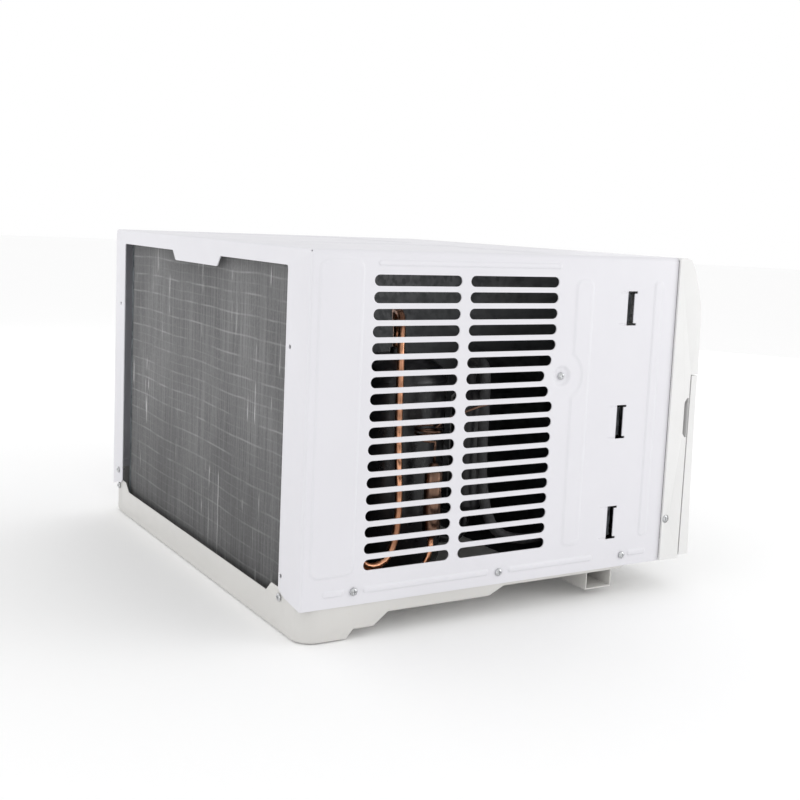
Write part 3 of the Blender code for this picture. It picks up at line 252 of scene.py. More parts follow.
@dataclass(frozen=True)
class BakedEnamel:
    """Powder-coated or baked paint on pressed sheet: faint orange peel, rubbed patches, settled dust."""

    name: str
    paint: Colour
    roughness: float = 0.36
    peel: float = 0.00003
    peel_scale: float = 420.0
    dust: Colour = (0.58, 0.55, 0.50)
    dust_amount: float = 0.05
    coat: float = 0.15

    def build(self) -> bpy.types.Material:
        """Wire the paint."""
        graph = Graph(self.name)
        place = graph.place()
        cloud = graph.noise(place, 9.0, 4.0)
        speck = graph.noise(place, 160.0, 5.0)
        tone = graph.fade(cloud, (0.35, 0.65), 1.0, scaled(self.paint, 0.975), self.paint)
        settled = graph.remap(cloud, (0.4, 0.7), (0.0, self.dust_amount))
        grime = graph.math("MULTIPLY", graph.remap(speck, (0.55, 0.75), (0.0, 1.0)), settled)
        graph.colour(graph.mix(grime, tone, self.dust))
        handled = graph.noise(place, 35.0, 3.0)
        graph.rough(handled, self.roughness - 0.05, self.roughness + 0.07)
        peel = graph.noise(place, self.peel_scale, 2.0)
        wave = graph.noise(place, 22.0, 1.0)
        graph.relief([(wave, 0.0004), (peel, self.peel)])
        graph.set(Coat_Weight=self.coat, Coat_Roughness=0.18, IOR=1.5)
        return graph.material


@dataclass(frozen=True)
class MouldedPlastic:
    """Injection-moulded plastic with a fine spark-eroded grain and a slight sheen drift."""

    name: str
    resin: Colour
    roughness: float = 0.45
    grain: float = 0.00002
    grain_scale: float = 1500.0

    def build(self) -> bpy.types.Material:
        """Wire the plastic."""
        graph = Graph(self.name)
        place = graph.place()
        cloud = graph.noise(place, 12.0, 3.0)
        graph.colour(graph.fade(cloud, (0.3, 0.7), 1.0, scaled(self.resin, 0.96), self.resin))
        drift = graph.noise(place, 60.0, 2.0)
        graph.rough(drift, self.roughness - 0.04, self.roughness + 0.06)
        graph.relief([(graph.noise(place, self.grain_scale, 2.0), self.grain)])
        graph.set(IOR=1.47)
        return graph.material


@dataclass(frozen=True)
class FinAluminium:
    """Thin fin stock seen edge on: streaks fin by fin, tube rows as pale lines of painted highlight,
    scratches, dark patches of soot, and painted shadow darkening the fins towards the bottom.
    """

    name: str
    metal: Colour = (0.44, 0.44, 0.445)
    shade: Colour = (0.29, 0.29, 0.295)
    bright: Colour = (0.86, 0.86, 0.87)
    row_pitch: float = 0.0225
    row_start: float = 0.0175

    def rows(self, graph: Graph, shift: float, width: float, strength: float) -> Socket:
        """Pale lines of painted highlight at one pitch up Z.

        Args:
            graph: the material's graph.
            shift: how far up the first line is, as a share of the pitch.
            width: share of the pitch that a line takes.
            strength: its highest value.

        Returns:
            The line value, 0 between the lines.
        """
        drift = graph.noise(graph.place((1.0, 1.0, 0.3)), 9.0, 1.0)
        wander = graph.remap(drift, (0.3, 0.7), (-0.0016, 0.0016))
        level = graph.math("ADD", graph.axis("Z"), wander)
        cycle = graph.math("DIVIDE", graph.math("SUBTRACT", level, self.row_start), self.row_pitch)
        swing = graph.math("FRACT", graph.math("ADD", cycle, shift))
        gap = graph.math("ABSOLUTE", graph.math("SUBTRACT", swing, 0.5))
        line = graph.remap(gap, (width, 0.0), (0.0, strength))
        broken = graph.remap(graph.noise(graph.place((0.25, 1.0, 2.0)), 130.0, 4.0), (0.36, 0.62), (0.1, 1.0))
        return graph.math("MULTIPLY", line, broken)

    def build(self) -> bpy.types.Material:
        """Wire the fins."""
        graph = Graph(self.name)
        streak = graph.noise(graph.place((1.0, 1.0, 0.02)), 420.0, 4.0)
        fleck = graph.noise(graph.place((1.0, 1.0, 0.35)), 900.0, 3.0)
        patch = graph.noise(graph.place((1.0, 1.0, 0.5)), 9.0, 4.0)
        tone = graph.fade(streak, (0.38, 0.62), 1.0, self.shade, self.metal)
        tone = graph.fade(fleck, (0.46, 0.70), 0.35, tone, scaled(self.bright, 0.66))
        tone = graph.fade(patch, (0.42, 0.68), 0.45, tone, scaled(self.shade, 0.7))
        # Two sets of pale lines of painted highlight across the fins: strong ones, and faint ones halfway
        # between them.
        tone = graph.mix(self.rows(graph, 0.5, 0.07, 0.45), tone, self.bright)
        tone = graph.mix(self.rows(graph, 0.0, 0.05, 0.16), tone, self.bright)
        scratch = graph.noise(graph.place((1.0, 1.0, 0.045)), 210.0, 2.0)
        limit = graph.noise(graph.place((1.0, 1.0, 0.4)), 26.0, 2.0)
        here = graph.remap(limit, (0.53, 0.58), (0.0, 1.0))
        mark = graph.math("MULTIPLY", graph.remap(scratch, (0.65, 0.70), (0.0, 1.0)), here)
        tone = graph.mix(mark, tone, (0.95, 0.95, 0.95))
        # Painted shadow: the fins darken towards the bottom, above the pan.
        low = graph.remap(graph.axis("Z"), (0.02, 0.20), (0.45, 0.0))
        graph.colour(graph.mix(low, tone, (0.12, 0.12, 0.12)))
        graph.rough(patch, 0.38, 0.62)
        graph.relief([(fleck, 0.0001)])
        graph.set(Metallic=0.35)
        return graph.material


@dataclass(frozen=True)
class CoilAluminium:
    """A fin pack modelled as one block: closely spaced upright fins drawn as relief across X, with painted
    shade in the gaps between them.
    """

    name: str
    metal: Colour = (0.55, 0.56, 0.57)
    pitch: float = 0.0016

    def build(self) -> bpy.types.Material:
        """Wire the block."""
        graph = Graph(self.name)
        place = graph.place()
        edge = graph.remap(graph.ridge("X", self.pitch), (0.1, 0.45), (0.0, 1.0))
        patch = graph.noise(place, 20.0, 4.0)
        # Near-black stripes between the fins: painted shade in the gaps.
        tone = graph.mix(edge, scaled(self.metal, 0.12), self.metal)
        graph.colour(graph.fade(patch, (0.4, 0.7), 0.4, tone, scaled(self.metal, 0.5)))
        graph.rough(patch, 0.3, 0.5)
        graph.relief([(edge, 0.0006)])
        graph.set(Metallic=0.75)
        return graph.material


@dataclass(frozen=True)
class DrawnCopper:
    """Drawn copper tube: bright metal going brown in patches, with fine draw lines and flux stains."""

    name: str
    metal: Colour = (0.83, 0.42, 0.25)
    tarnish: Colour = (0.36, 0.16, 0.09)

    def build(self) -> bpy.types.Material:
        """Wire the copper."""
        graph = Graph(self.name)
        place = graph.place()
        patch = graph.noise(place, 45.0, 4.0)
        fine = graph.noise(place, 600.0, 3.0)
        tone = graph.fade(patch, (0.42, 0.68), 0.75, self.metal, self.tarnish)
        graph.colour(graph.fade(fine, (0.6, 0.75), 0.3, tone, (0.18, 0.24, 0.2)))
        graph.rough(patch, 0.2, 0.42)
        graph.relief([(fine, 0.00003)])
        graph.set(Metallic=1.0)
        return graph.material


@dataclass(frozen=True)
class ZincSheet:
    """Galvanised sheet with its crystal spangle."""

    name: str
    metal: Colour = (0.42, 0.45, 0.48)
    spangle: float = 160.0

    def build(self) -> bpy.types.Material:
        """Wire the zinc."""
        graph = Graph(self.name)
        place = graph.place()
        crystals = graph.cells(place, self.spangle, "Color")
        tone = graph.add("ShaderNodeSeparateColor", {"Color": crystals}).outputs["Red"]
        graph.colour(graph.mix(tone, scaled(self.metal, 0.72), self.metal))
        graph.rough(tone, 0.28, 0.5, (0.0, 1.0))
        graph.relief([(graph.noise(place, 300.0, 3.0), 0.00004)])
        graph.set(Metallic=0.9)
        return graph.material


@dataclass(frozen=True)
class PlatedSteel:
    """Bright plated or ground steel with fine turning lines."""

    name: str
    metal: Colour = (0.62, 0.63, 0.64)
    roughness: float = 0.24

    def build(self) -> bpy.types.Material:
        """Wire the plating."""
        graph = Graph(self.name)
        place = graph.place()
        fine = graph.noise(place, 2400.0, 2.0)
        patch = graph.noise(place, 300.0, 3.0)
        graph.colour(graph.fade(patch, (0.35, 0.65), 1.0, scaled(self.metal, 0.7), self.metal))
        graph.rough(fine, self.roughness - 0.06, self.roughness + 0.1)
        graph.relief([(fine, 0.00002)])
        graph.set(Metallic=1.0)
        return graph.material


@dataclass(frozen=True)
class Elastomer:
    """Dull moulded rubber with bloom in its hollows."""

    name: str
    rubber: Colour = (0.025, 0.025, 0.027)

    def build(self) -> bpy.types.Material:
        """Wire the rubber."""
        graph = Graph(self.name)
        place = graph.place()
        bloom = graph.noise(place, 120.0, 4.0)
        graph.colour(graph.fade(bloom, (0.45, 0.7), 0.5, self.rubber, (0.09, 0.09, 0.09)))
        graph.rough(bloom, 0.62, 0.85)
        graph.relief([(graph.noise(place, 900.0, 2.0), 0.00006)])
        return graph.material


@dataclass(frozen=True)
class BeadFoam:
    """Moulded bead foam: closely packed cells with a darker seam round each bead."""

    name: str
    bead: Colour = (0.80, 0.80, 0.78)
    cells_per_metre: float = 330.0

    def build(self) -> bpy.types.Material:
        """Wire the foam."""
        graph = Graph(self.name)
        distance = graph.cells(graph.place(), self.cells_per_metre, "Distance")
        seam = graph.remap(distance, (0.25, 0.7), (0.0, 1.0))
        graph.colour(graph.mix(seam, self.bead, scaled(self.bead, 0.72)))
        graph.rough(seam, 0.7, 0.9, (0.0, 1.0))
        graph.relief([(graph.math("SUBTRACT", 1.0, seam), 0.0003)])
        return graph.material


@dataclass(frozen=True)
class NylonMesh:
    """Woven filter cloth in a moulded frame: square threads drawn as colour and relief, with painted shade in
    the open cells between them.
    """

    name: str
    thread: Colour = (0.34, 0.38, 0.43)
    # Colour of the open cells between the threads: painted shade.
    gap: Colour = (0.03, 0.035, 0.04)
    pitch: float = 0.0022

    def build(self) -> bpy.types.Material:
        """Wire the cloth."""
        graph = Graph(self.name)
        weave = graph.math("MAXIMUM", graph.ridge("X", self.pitch), graph.ridge("Z", self.pitch))
        shaded_open_cells = graph.remap(weave, (0.30, 0.36), (1.0, 0.0))
        dirt = graph.noise(graph.place(), 30.0, 4.0)
        tone = graph.fade(dirt, (0.45, 0.7), 0.4, self.thread, (0.36, 0.34, 0.31))
        # The open cells take the near-black painted shade.
        graph.colour(graph.mix(shaded_open_cells, tone, self.gap))
        graph.rough(dirt, 0.6, 0.8)
        graph.relief([(graph.math("SUBTRACT", 1.0, shaded_open_cells), 0.0004)])
        return graph.material


@dataclass(frozen=True)
class SeamlessPaper:
    """The pale paper the object stands on."""

    name: str
    paper: Colour = (0.97, 0.97, 0.97)

    def build(self) -> bpy.types.Material:
        """Wire the paper."""
        graph = Graph(self.name)
        tooth = graph.noise(graph.place(), 90.0, 3.0)
        graph.colour(graph.mix(tooth, scaled(self.paper, 0.99), self.paper))
        graph.set(Roughness=0.9)
        return graph.material


FINISHES: dict[Slot, object] = {
    Slot.CABINET: BakedEnamel("cabinet_enamel", (0.705, 0.699, 0.733), roughness=0.46, coat=0.04),
    Slot.PAN: BakedEnamel("pan_enamel", (0.62, 0.61, 0.59), roughness=0.42, dust_amount=0.12),
    Slot.BEZEL: MouldedPlastic("front_moulding", (0.730, 0.728, 0.722), roughness=0.4),
    Slot.DARK: MouldedPlastic("dark_moulding", (0.045, 0.047, 0.052), roughness=0.42),
    Slot.FILTER: NylonMesh("filter_cloth"),
    Slot.ZINC: ZincSheet("spangled_zinc"),
    Slot.SCREW: PlatedSteel("screw_plating"),
    Slot.FIN: CoilAluminium("coil_fins"),
    Slot.COPPER: DrawnCopper("drawn_copper"),
    Slot.ENAMEL: BakedEnamel(
        "black_enamel", (0.012, 0.012, 0.014), roughness=0.3, dust=(0.2, 0.19, 0.17), dust_amount=0.35
    ),
    Slot.RUBBER: Elastomer("mount_rubber"),
    Slot.FOAM: BeadFoam("bead_foam"),
    Slot.FAN: MouldedPlastic("fan_moulding", (0.03, 0.032, 0.036), roughness=0.38),
    Slot.SHAFT: PlatedSteel("ground_shaft", (0.5, 0.5, 0.51), roughness=0.3),
}


# ---- Meshes from arrays ----


def smoothed(mesh: bpy.types.Mesh, sharp: float) -> bpy.types.Mesh:
    """Shade a mesh smooth apart from edges sharper than an angle in degrees, and return it."""
    mesh.shade_smooth()
    mesh.set_sharp_from_angle(angle=radians(sharp))
    return mesh


def sealed(mesh: bpy.types.Mesh) -> bpy.types.Mesh:
    """Join doubled vertices, as at the poles of a turned piece, and face a small closed mesh outwards.

    Args:
        mesh: the mesh, changed in place.

    Returns:
        The same mesh.
    """
    bm = bmesh.new()
    bm.from_mesh(mesh)
    bmesh.ops.remove_doubles(bm, verts=bm.verts, dist=1e-6)
    bmesh.ops.recalc_face_normals(bm, faces=bm.faces)
    bm.to_mesh(mesh)
    bm.free()
    return smoothed(mesh, 40.0)


def mesh_of(
    name: str, points: Floats, faces: list[Ints], sharp: float = 35.0, groups: tuple[int, ...] = ()
) -> bpy.types.Mesh:
    """Write arrays into a mesh, smooth apart from edges sharper than an angle.

    Args:
        name: the mesh's name.
        points: one row of x, y, z per vertex.
        faces: arrays of vertex numbers, one array per face size.
        sharp: the angle in degrees above which an edge stays crisp.
        groups: material number for each array of faces.

    Returns:
        The mesh.
    """
    mesh = bpy.data.meshes.new(name)
    loops = np.concatenate([block.ravel() for block in faces]).astype(np.int32)
    totals = np.concatenate([np.full(len(block), block.shape[1]) for block in faces]).astype(np.int32)
    starts = np.concatenate([[0], np.cumsum(totals)[:-1]]).astype(np.int32)
    mesh.vertices.add(len(points))
    mesh.vertices.foreach_set("co", points.astype(np.float32).ravel())
    mesh.loops.add(len(loops))
    mesh.loops.foreach_set("vertex_index", loops)
    mesh.polygons.add(len(totals))
    mesh.polygons.foreach_set("loop_start", starts)
    if groups:
        index = np.concatenate([np.full(len(block), group) for block, group in zip(faces, groups)])
        mesh.polygons.foreach_set("material_index", index.astype(np.int32))
    mesh.update(calc_edges=True)
    mesh.validate()
    return smoothed(mesh, sharp)


def grid_faces(rows: int, columns: int, close_rows: bool = False, close_columns: bool = False) -> Ints:
    """Quads of a grid of vertices numbered row by row.

    Args:
        rows: vertices down.
        columns: vertices across.
        close_rows: join the last row to the first.
        close_columns: join the last column to the first.

    Returns:
        One row of four vertex numbers per quad.
    """
    down = np.arange(rows if close_rows else rows - 1)[:, None]
    across = np.arange(columns if close_columns else columns - 1)[None, :]
    after_down, after_across = (down + 1) % rows, (across + 1) % columns
    corners = (down * columns + across, down * columns + after_across)
    corners += (after_down * columns + after_across, after_down * columns + across)
    return np.stack([np.broadcast_to(corner, (down.size, across.size)).ravel() for corner in corners], axis=1)


# The six faces of a slab given as two rings of four points.
SLAB = np.concatenate([grid_faces(2, 4, close_columns=True)[:, ::-1], [[0, 1, 2, 3], [7, 6, 5, 4]]])


def welded(points: Floats, faces: Ints) -> tuple[Floats, Ints]:
    """Make one vertex of those that share a place to a hundredth of a millimetre.

    Args:
        points: vertex rows.
        faces: triangle rows.

    Returns:
        The kept points and the renumbered faces, without collapsed ones.
    """
    rounded = np.round(points / 1e-5).astype(np.int64)
    _, first, index = np.unique(rounded, axis=0, return_index=True, return_inverse=True)
    faces = index.reshape(-1)[faces]
    whole = (faces[:, 0] != faces[:, 1]) & (faces[:, 1] != faces[:, 2]) & (faces[:, 0] != faces[:, 2])
    return points[first], faces[whole]


def vertex_normals(points: Floats, faces: Ints) -> Floats:
    """Unit normals: each triangle's cross product summed at its corners, then scaled to length 1."""
    corners = points[faces]
    cross = np.cross(corners[:, 1] - corners[:, 0], corners[:, 2] - corners[:, 0])
    cross /= np.maximum(np.linalg.norm(cross, axis=1, keepdims=True), 1e-15)
    total = np.zeros_like(points)
    for corner in range(3):
        ahead = corners[:, (corner + 1) % 3] - corners[:, corner]
        behind = corners[:, (corner + 2) % 3] - corners[:, corner]
        lengths = np.linalg.norm(ahead, axis=1) * np.linalg.norm(behind, axis=1)
        angle = np.arccos(np.clip((ahead * behind).sum(axis=1) / np.maximum(lengths, 1e-15), -1.0, 1.0))
        np.add.at(total, faces[:, corner], cross * angle[:, None])
    return total / np.maximum(np.linalg.norm(total, axis=1, keepdims=True), 1e-15)


def thickened(points: Floats, faces: Ints, wall: float) -> tuple[Floats, list[Ints]]:
    """Close an open sheet to a wall: the sheet, its copy set in along the normals, and a rim of quads.

    Args:
        points: vertex rows of the outer face.
        faces: triangle rows that face outwards.
        wall: the thickness.

    Returns:
        All the points, and the outer triangles, inner triangles and rim quads.
    """
    inner = points - vertex_normals(points, faces) * wall
    count = len(points)
    ends = np.concatenate([faces[:, [0, 1]], faces[:, [1, 2]], faces[:, [2, 0]]])
    keys = np.sort(ends, axis=1)
    _, index, uses = np.unique(keys, axis=0, return_inverse=True, return_counts=True)
    rim = ends[uses[index.reshape(-1)] == 1]
    quads = np.stack([rim[:, 1], rim[:, 0], rim[:, 0] + count, rim[:, 1] + count], axis=1)
    return np.concatenate([points, inner]), [faces, faces[:, ::-1] + count, quads]


def triangulated(lines: list[tuple[Floats, bool]]) -> tuple[Floats, Ints]:
    """Fill a flat region with triangles that keep to the given lines.

    Args:
        lines: polylines in the plane, each with whether it closes.

    Returns:
        The plane's points and its counter-clockwise triangles.
    """
    corners: list[Vector] = []
    edges: list[tuple[int, int]] = []
    for line, closed in lines:
        start, count = len(corners), len(line)
        corners += [Vector(point) for point in line.tolist()]
        edges += [(start + step, start + step + 1) for step in range(count - 1)]
        if closed:
            edges.append((start + count - 1, start))
    verts, _, faces, *_ = delaunay_2d_cdt(corners, edges, [], 0, 1e-7)
    return np.array([tuple(vert) for vert in verts]), np.array([tuple(face) for face in faces], np.int64)


def arc(centre: Span, radius: float, start: float, stop: float, steps: int) -> Floats:
    """Points on a circle between two angles in degrees."""
    turn = np.radians(np.linspace(start, stop, steps + 1))
    return np.stack([centre[0] + radius * np.cos(turn), centre[1] + radius * np.sin(turn)], axis=1)


def inside(places: Floats, outline: Floats) -> NDArray[np.bool_]:
    """Which points a closed outline holds, by counting the edges that a ray towards +first crosses."""
    after = np.roll(outline, -1, axis=0)
    a, b = places[:, None, 0], places[:, None, 1]
    straddle = (outline[None, :, 1] > b) != (after[None, :, 1] > b)
    rise = after[None, :, 1] - outline[None, :, 1]
    rise = np.where(np.abs(rise) < 1e-12, 1e-12, rise)
    run = after[None, :, 0] - outline[None, :, 0]
    crossing = outline[None, :, 0] + (b - outline[None, :, 1]) / rise * run
    return ((straddle & (a < crossing)).sum(axis=1) % 2) == 1


def turned(profile: Floats, sides: int) -> tuple[Floats, Ints]:
    """Carry a (radius, along) profile round the Y axis: x = r cos, z = r sin, y = along.

    Args:
        profile: rows of radius and distance along the axis, from one pole to the other.
        sides: steps round.

    Returns:
        Points about the origin and their quads.
    """
    turn = np.linspace(0.0, 2 * pi, sides, endpoint=False)
    radius, along = profile[:, :1], profile[:, 1:]
    x = radius * np.cos(turn)
    z = radius * np.sin(turn)
    y = np.broadcast_to(along, x.shape)
    return np.stack([x, y, z], axis=2).reshape(-1, 3), grid_faces(len(profile), sides, close_columns=True)


# ---- The workshop: where meshes become pieces ----


@dataclass
class Workshop:
    """Holds the built finishes and puts each finished piece on its body."""

    materials: dict[Slot, bpy.types.Material] = field(default_factory=dict)
    extras: dict[str, bpy.types.Material] = field(default_factory=dict)

    def stock(self) -> None:
        """Build every finish once."""
        self.materials = {slot: finish.build() for slot, finish in FINISHES.items()}
        self.extras = {
            # Near-black finish for the wrapper's inside faces: painted shade inside the cabinet.
            "inner_painted_shade": BakedEnamel("inner_painted_shade", (0.045, 0.046, 0.050), roughness=0.6, coat=0.0).build(),
            "fin_edges": FinAluminium("fin_edges").build(),
            "dull_copper": DrawnCopper("dull_copper", (0.20, 0.115, 0.08), (0.06, 0.045, 0.04)).build(),
            "dial_print": MouldedPlastic("dial_print", (0.28, 0.30, 0.33), roughness=0.5).build(),
            "pointer": MouldedPlastic("pointer_paint", (0.85, 0.85, 0.85), roughness=0.5).build(),
            "shroud": ZincSheet("shroud_zinc", (0.035, 0.038, 0.042)).build(),
        }

    def finish(self, slot: Slot, extra: str = "") -> bpy.types.Material:
        """The slot's own finish, or an extra one by its name."""
        return self.extras[extra] if extra else self.materials[slot]

    def deliver(
        self,
        name: str,
        mesh: bpy.types.Mesh,
        slot: Slot,
        body: str,
        nodes: tuple[str, ...] = (),
        finishes: tuple[str, ...] = (),
    ) -> bpy.types.Object:
        """Put a finished mesh into the scene as a piece.

        Args:
            name: the piece's name.
            mesh: its mesh, in place.
            slot: the record's slot it takes its finish from.
            body: the CAD body it rides on.
            nodes: CAD nodes it stands for.
            finishes: names of extra finishes, which replace the slot's own from the first face group on.

        Returns:
            The piece.
        """
        piece = bpy.data.objects.new(name, mesh)
        bpy.context.scene.collection.objects.link(piece)
        mesh.materials.clear()
        for extra in finishes or ("",):
            mesh.materials.append(self.finish(slot, extra))
        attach(piece, body)
        if nodes:
            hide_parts(*nodes)
        LOG.info("%s: %d faces on %s", name, len(mesh.polygons), body)
        return piece

    def dress(self, node: str, slot: Slot) -> None:
        """Give a carried-over CAD node its slot's finish.

        Args:
            node: the CAD node.
            slot: its material slot.
        """
        for place in frame["nodes"][node].material_slots:
            place.material = self.finish(slot)
        LOG.info("%s: kept, in %s", node, self.finish(slot).name)

    def refine(
        self, node: str, slot: Slot, edge: float = 0.0, sharp: float = 38.0, extra: str = ""
    ) -> bpy.types.Object:
        """Replace a CAD node by its own welded copy, with softened edges and smooth curves.

        Args:
            node: the CAD node.
            slot: its material slot.
            edge: bevel width, or 0 for none.
            sharp: the angle in degrees above which an edge stays crisp.
            extra: name of an extra finish to use in place of the slot's own.

        Returns:
            The piece.
        """
        mesh = frame["nodes"][node].data.copy()
        bm = bmesh.new()
        bm.from_mesh(mesh)
        bmesh.ops.remove_doubles(bm, verts=bm.verts, dist=3e-6)
        bmesh.ops.dissolve_limit(bm, angle_limit=radians(0.7), verts=bm.verts, edges=bm.edges)
        bmesh.ops.triangulate(bm, faces=bm.faces[:], quad_method="BEAUTY", ngon_method="BEAUTY")
        bm.to_mesh(mesh)
        bm.free()
        body = frame["nodes"][node]["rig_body"]
        piece = self.deliver(f"{node}_skin", smoothed(mesh, sharp), slot, body, (node,), (extra,))
        if edge:
            self.soften(piece, edge, sharp)
        return piece

    def soften(self, piece: bpy.types.Object, edge: float, sharp: float) -> None:
        """Round a piece's edges.

        Args:
            piece: the piece.
            edge: bevel width.
            sharp: the angle in degrees above which an edge is rounded.
        """
        bevel = piece.modifiers.new("edges", "BEVEL")
        bevel.width = edge
        bevel.segments = 2
        bevel.limit_method = "ANGLE"
        bevel.angle_limit = radians(sharp)
        bevel.harden_normals = True
        bevel.miter_outer = "MITER_ARC"

    def mirror(self, piece: bpy.types.Object, slot: Slot, body: str) -> bpy.types.Object:
        """Put a piece's mirror image on the other side: x becomes -x, and the faces are turned outwards.

        Args:
            piece: the piece on the first side.
            slot: its material slot.
            body: the body that the image rides on.

        Returns:
            The image.
        """
        mesh = piece.data.copy()
        points = np.empty(len(mesh.vertices) * 3, np.float32)
        mesh.vertices.foreach_get("co", points)
        points[::3] *= -1.0
        mesh.vertices.foreach_set("co", points)
        mesh.flip_normals()
        return self.deliver(f"right_{piece.name}", mesh, slot, body)


# ---- Cabinet ----


@dataclass(frozen=True)
class Rib:
    """A raised or sunk stretch of a cabinet side: a rounded rectangle in (y, z) with sloped walls."""

    y: Span
    z: Span
    radius: float
    height: float = 0.0010
    slope: float = 0.0032
    bite: Place | None = None
    spacing: float = 0.012

    def distance(self, y: Floats, z: Floats) -> Floats:
        """Signed distance to the outline, negative inside: the rounded-box formula, less the bite's disc."""
        across = np.abs(y - sum(self.y) / 2) - ((self.y[1] - self.y[0]) / 2 - self.radius)
        up = np.abs(z - sum(self.z) / 2) - ((self.z[1] - self.z[0]) / 2 - self.radius)
        outside = np.hypot(np.maximum(across, 0.0), np.maximum(up, 0.0))
        gap = outside + np.minimum(np.maximum(across, up), 0.0) - self.radius
        if self.bite is not None:
            gap = np.maximum(gap, self.bite[2] - np.hypot(y - self.bite[0], z - self.bite[1]))
        return gap

    def lift(self, y: Floats, z: Floats) -> Floats:
        """Height of the pressing: an S-curve from 0 at the outline to full height one slope further in."""
        rise = np.clip(-self.distance(y, z) / self.slope, 0.0, 1.0)
        return self.height * rise * rise * (3.0 - 2.0 * rise)

    def contour(self, inset: float) -> Floats:
        """The outline moved in by a distance, with the bite followed at the same distance.

        Args:
            inset: the distance, negative to move out.

        Returns:
            A closed loop of (y, z) points.
        """
        radius = max(self.radius - inset, 0.0006)
        front, back = self.y[0] + inset + radius, self.y[1] - inset - radius
        foot, head = self.z[0] + inset + radius, self.z[1] - inset - radius
        centres = ((back, head), (front, head), (front, foot), (back, foot))
        starts = (0.0, 90.0, 180.0, 270.0)
        corners = [arc(centre, radius, start, start + 90.0, 8) for centre, start in zip(centres, starts)]
        loop = []
        for corner, after in zip(corners, corners[1:] + corners[:1]):
            steps = max(int(np.linalg.norm(after[0] - corner[-1]) / self.spacing), 1)
            share = np.linspace(0.0, 1.0, steps + 1)[1:-1, None]
            loop += [corner, corner[-1] + (after[0] - corner[-1]) * share]
        points = np.concatenate(loop)
        if self.bite is not None:
            reach = (self.bite[2] + inset) ** 2 - (points[:, 1] - self.bite[1]) ** 2
            edge = self.bite[0] - np.sqrt(np.maximum(reach, 0.0))
            bitten = (reach > 0.0) & (points[:, 0] > edge)
            points[:, 0] = np.where(bitten, edge, points[:, 0])
        return points


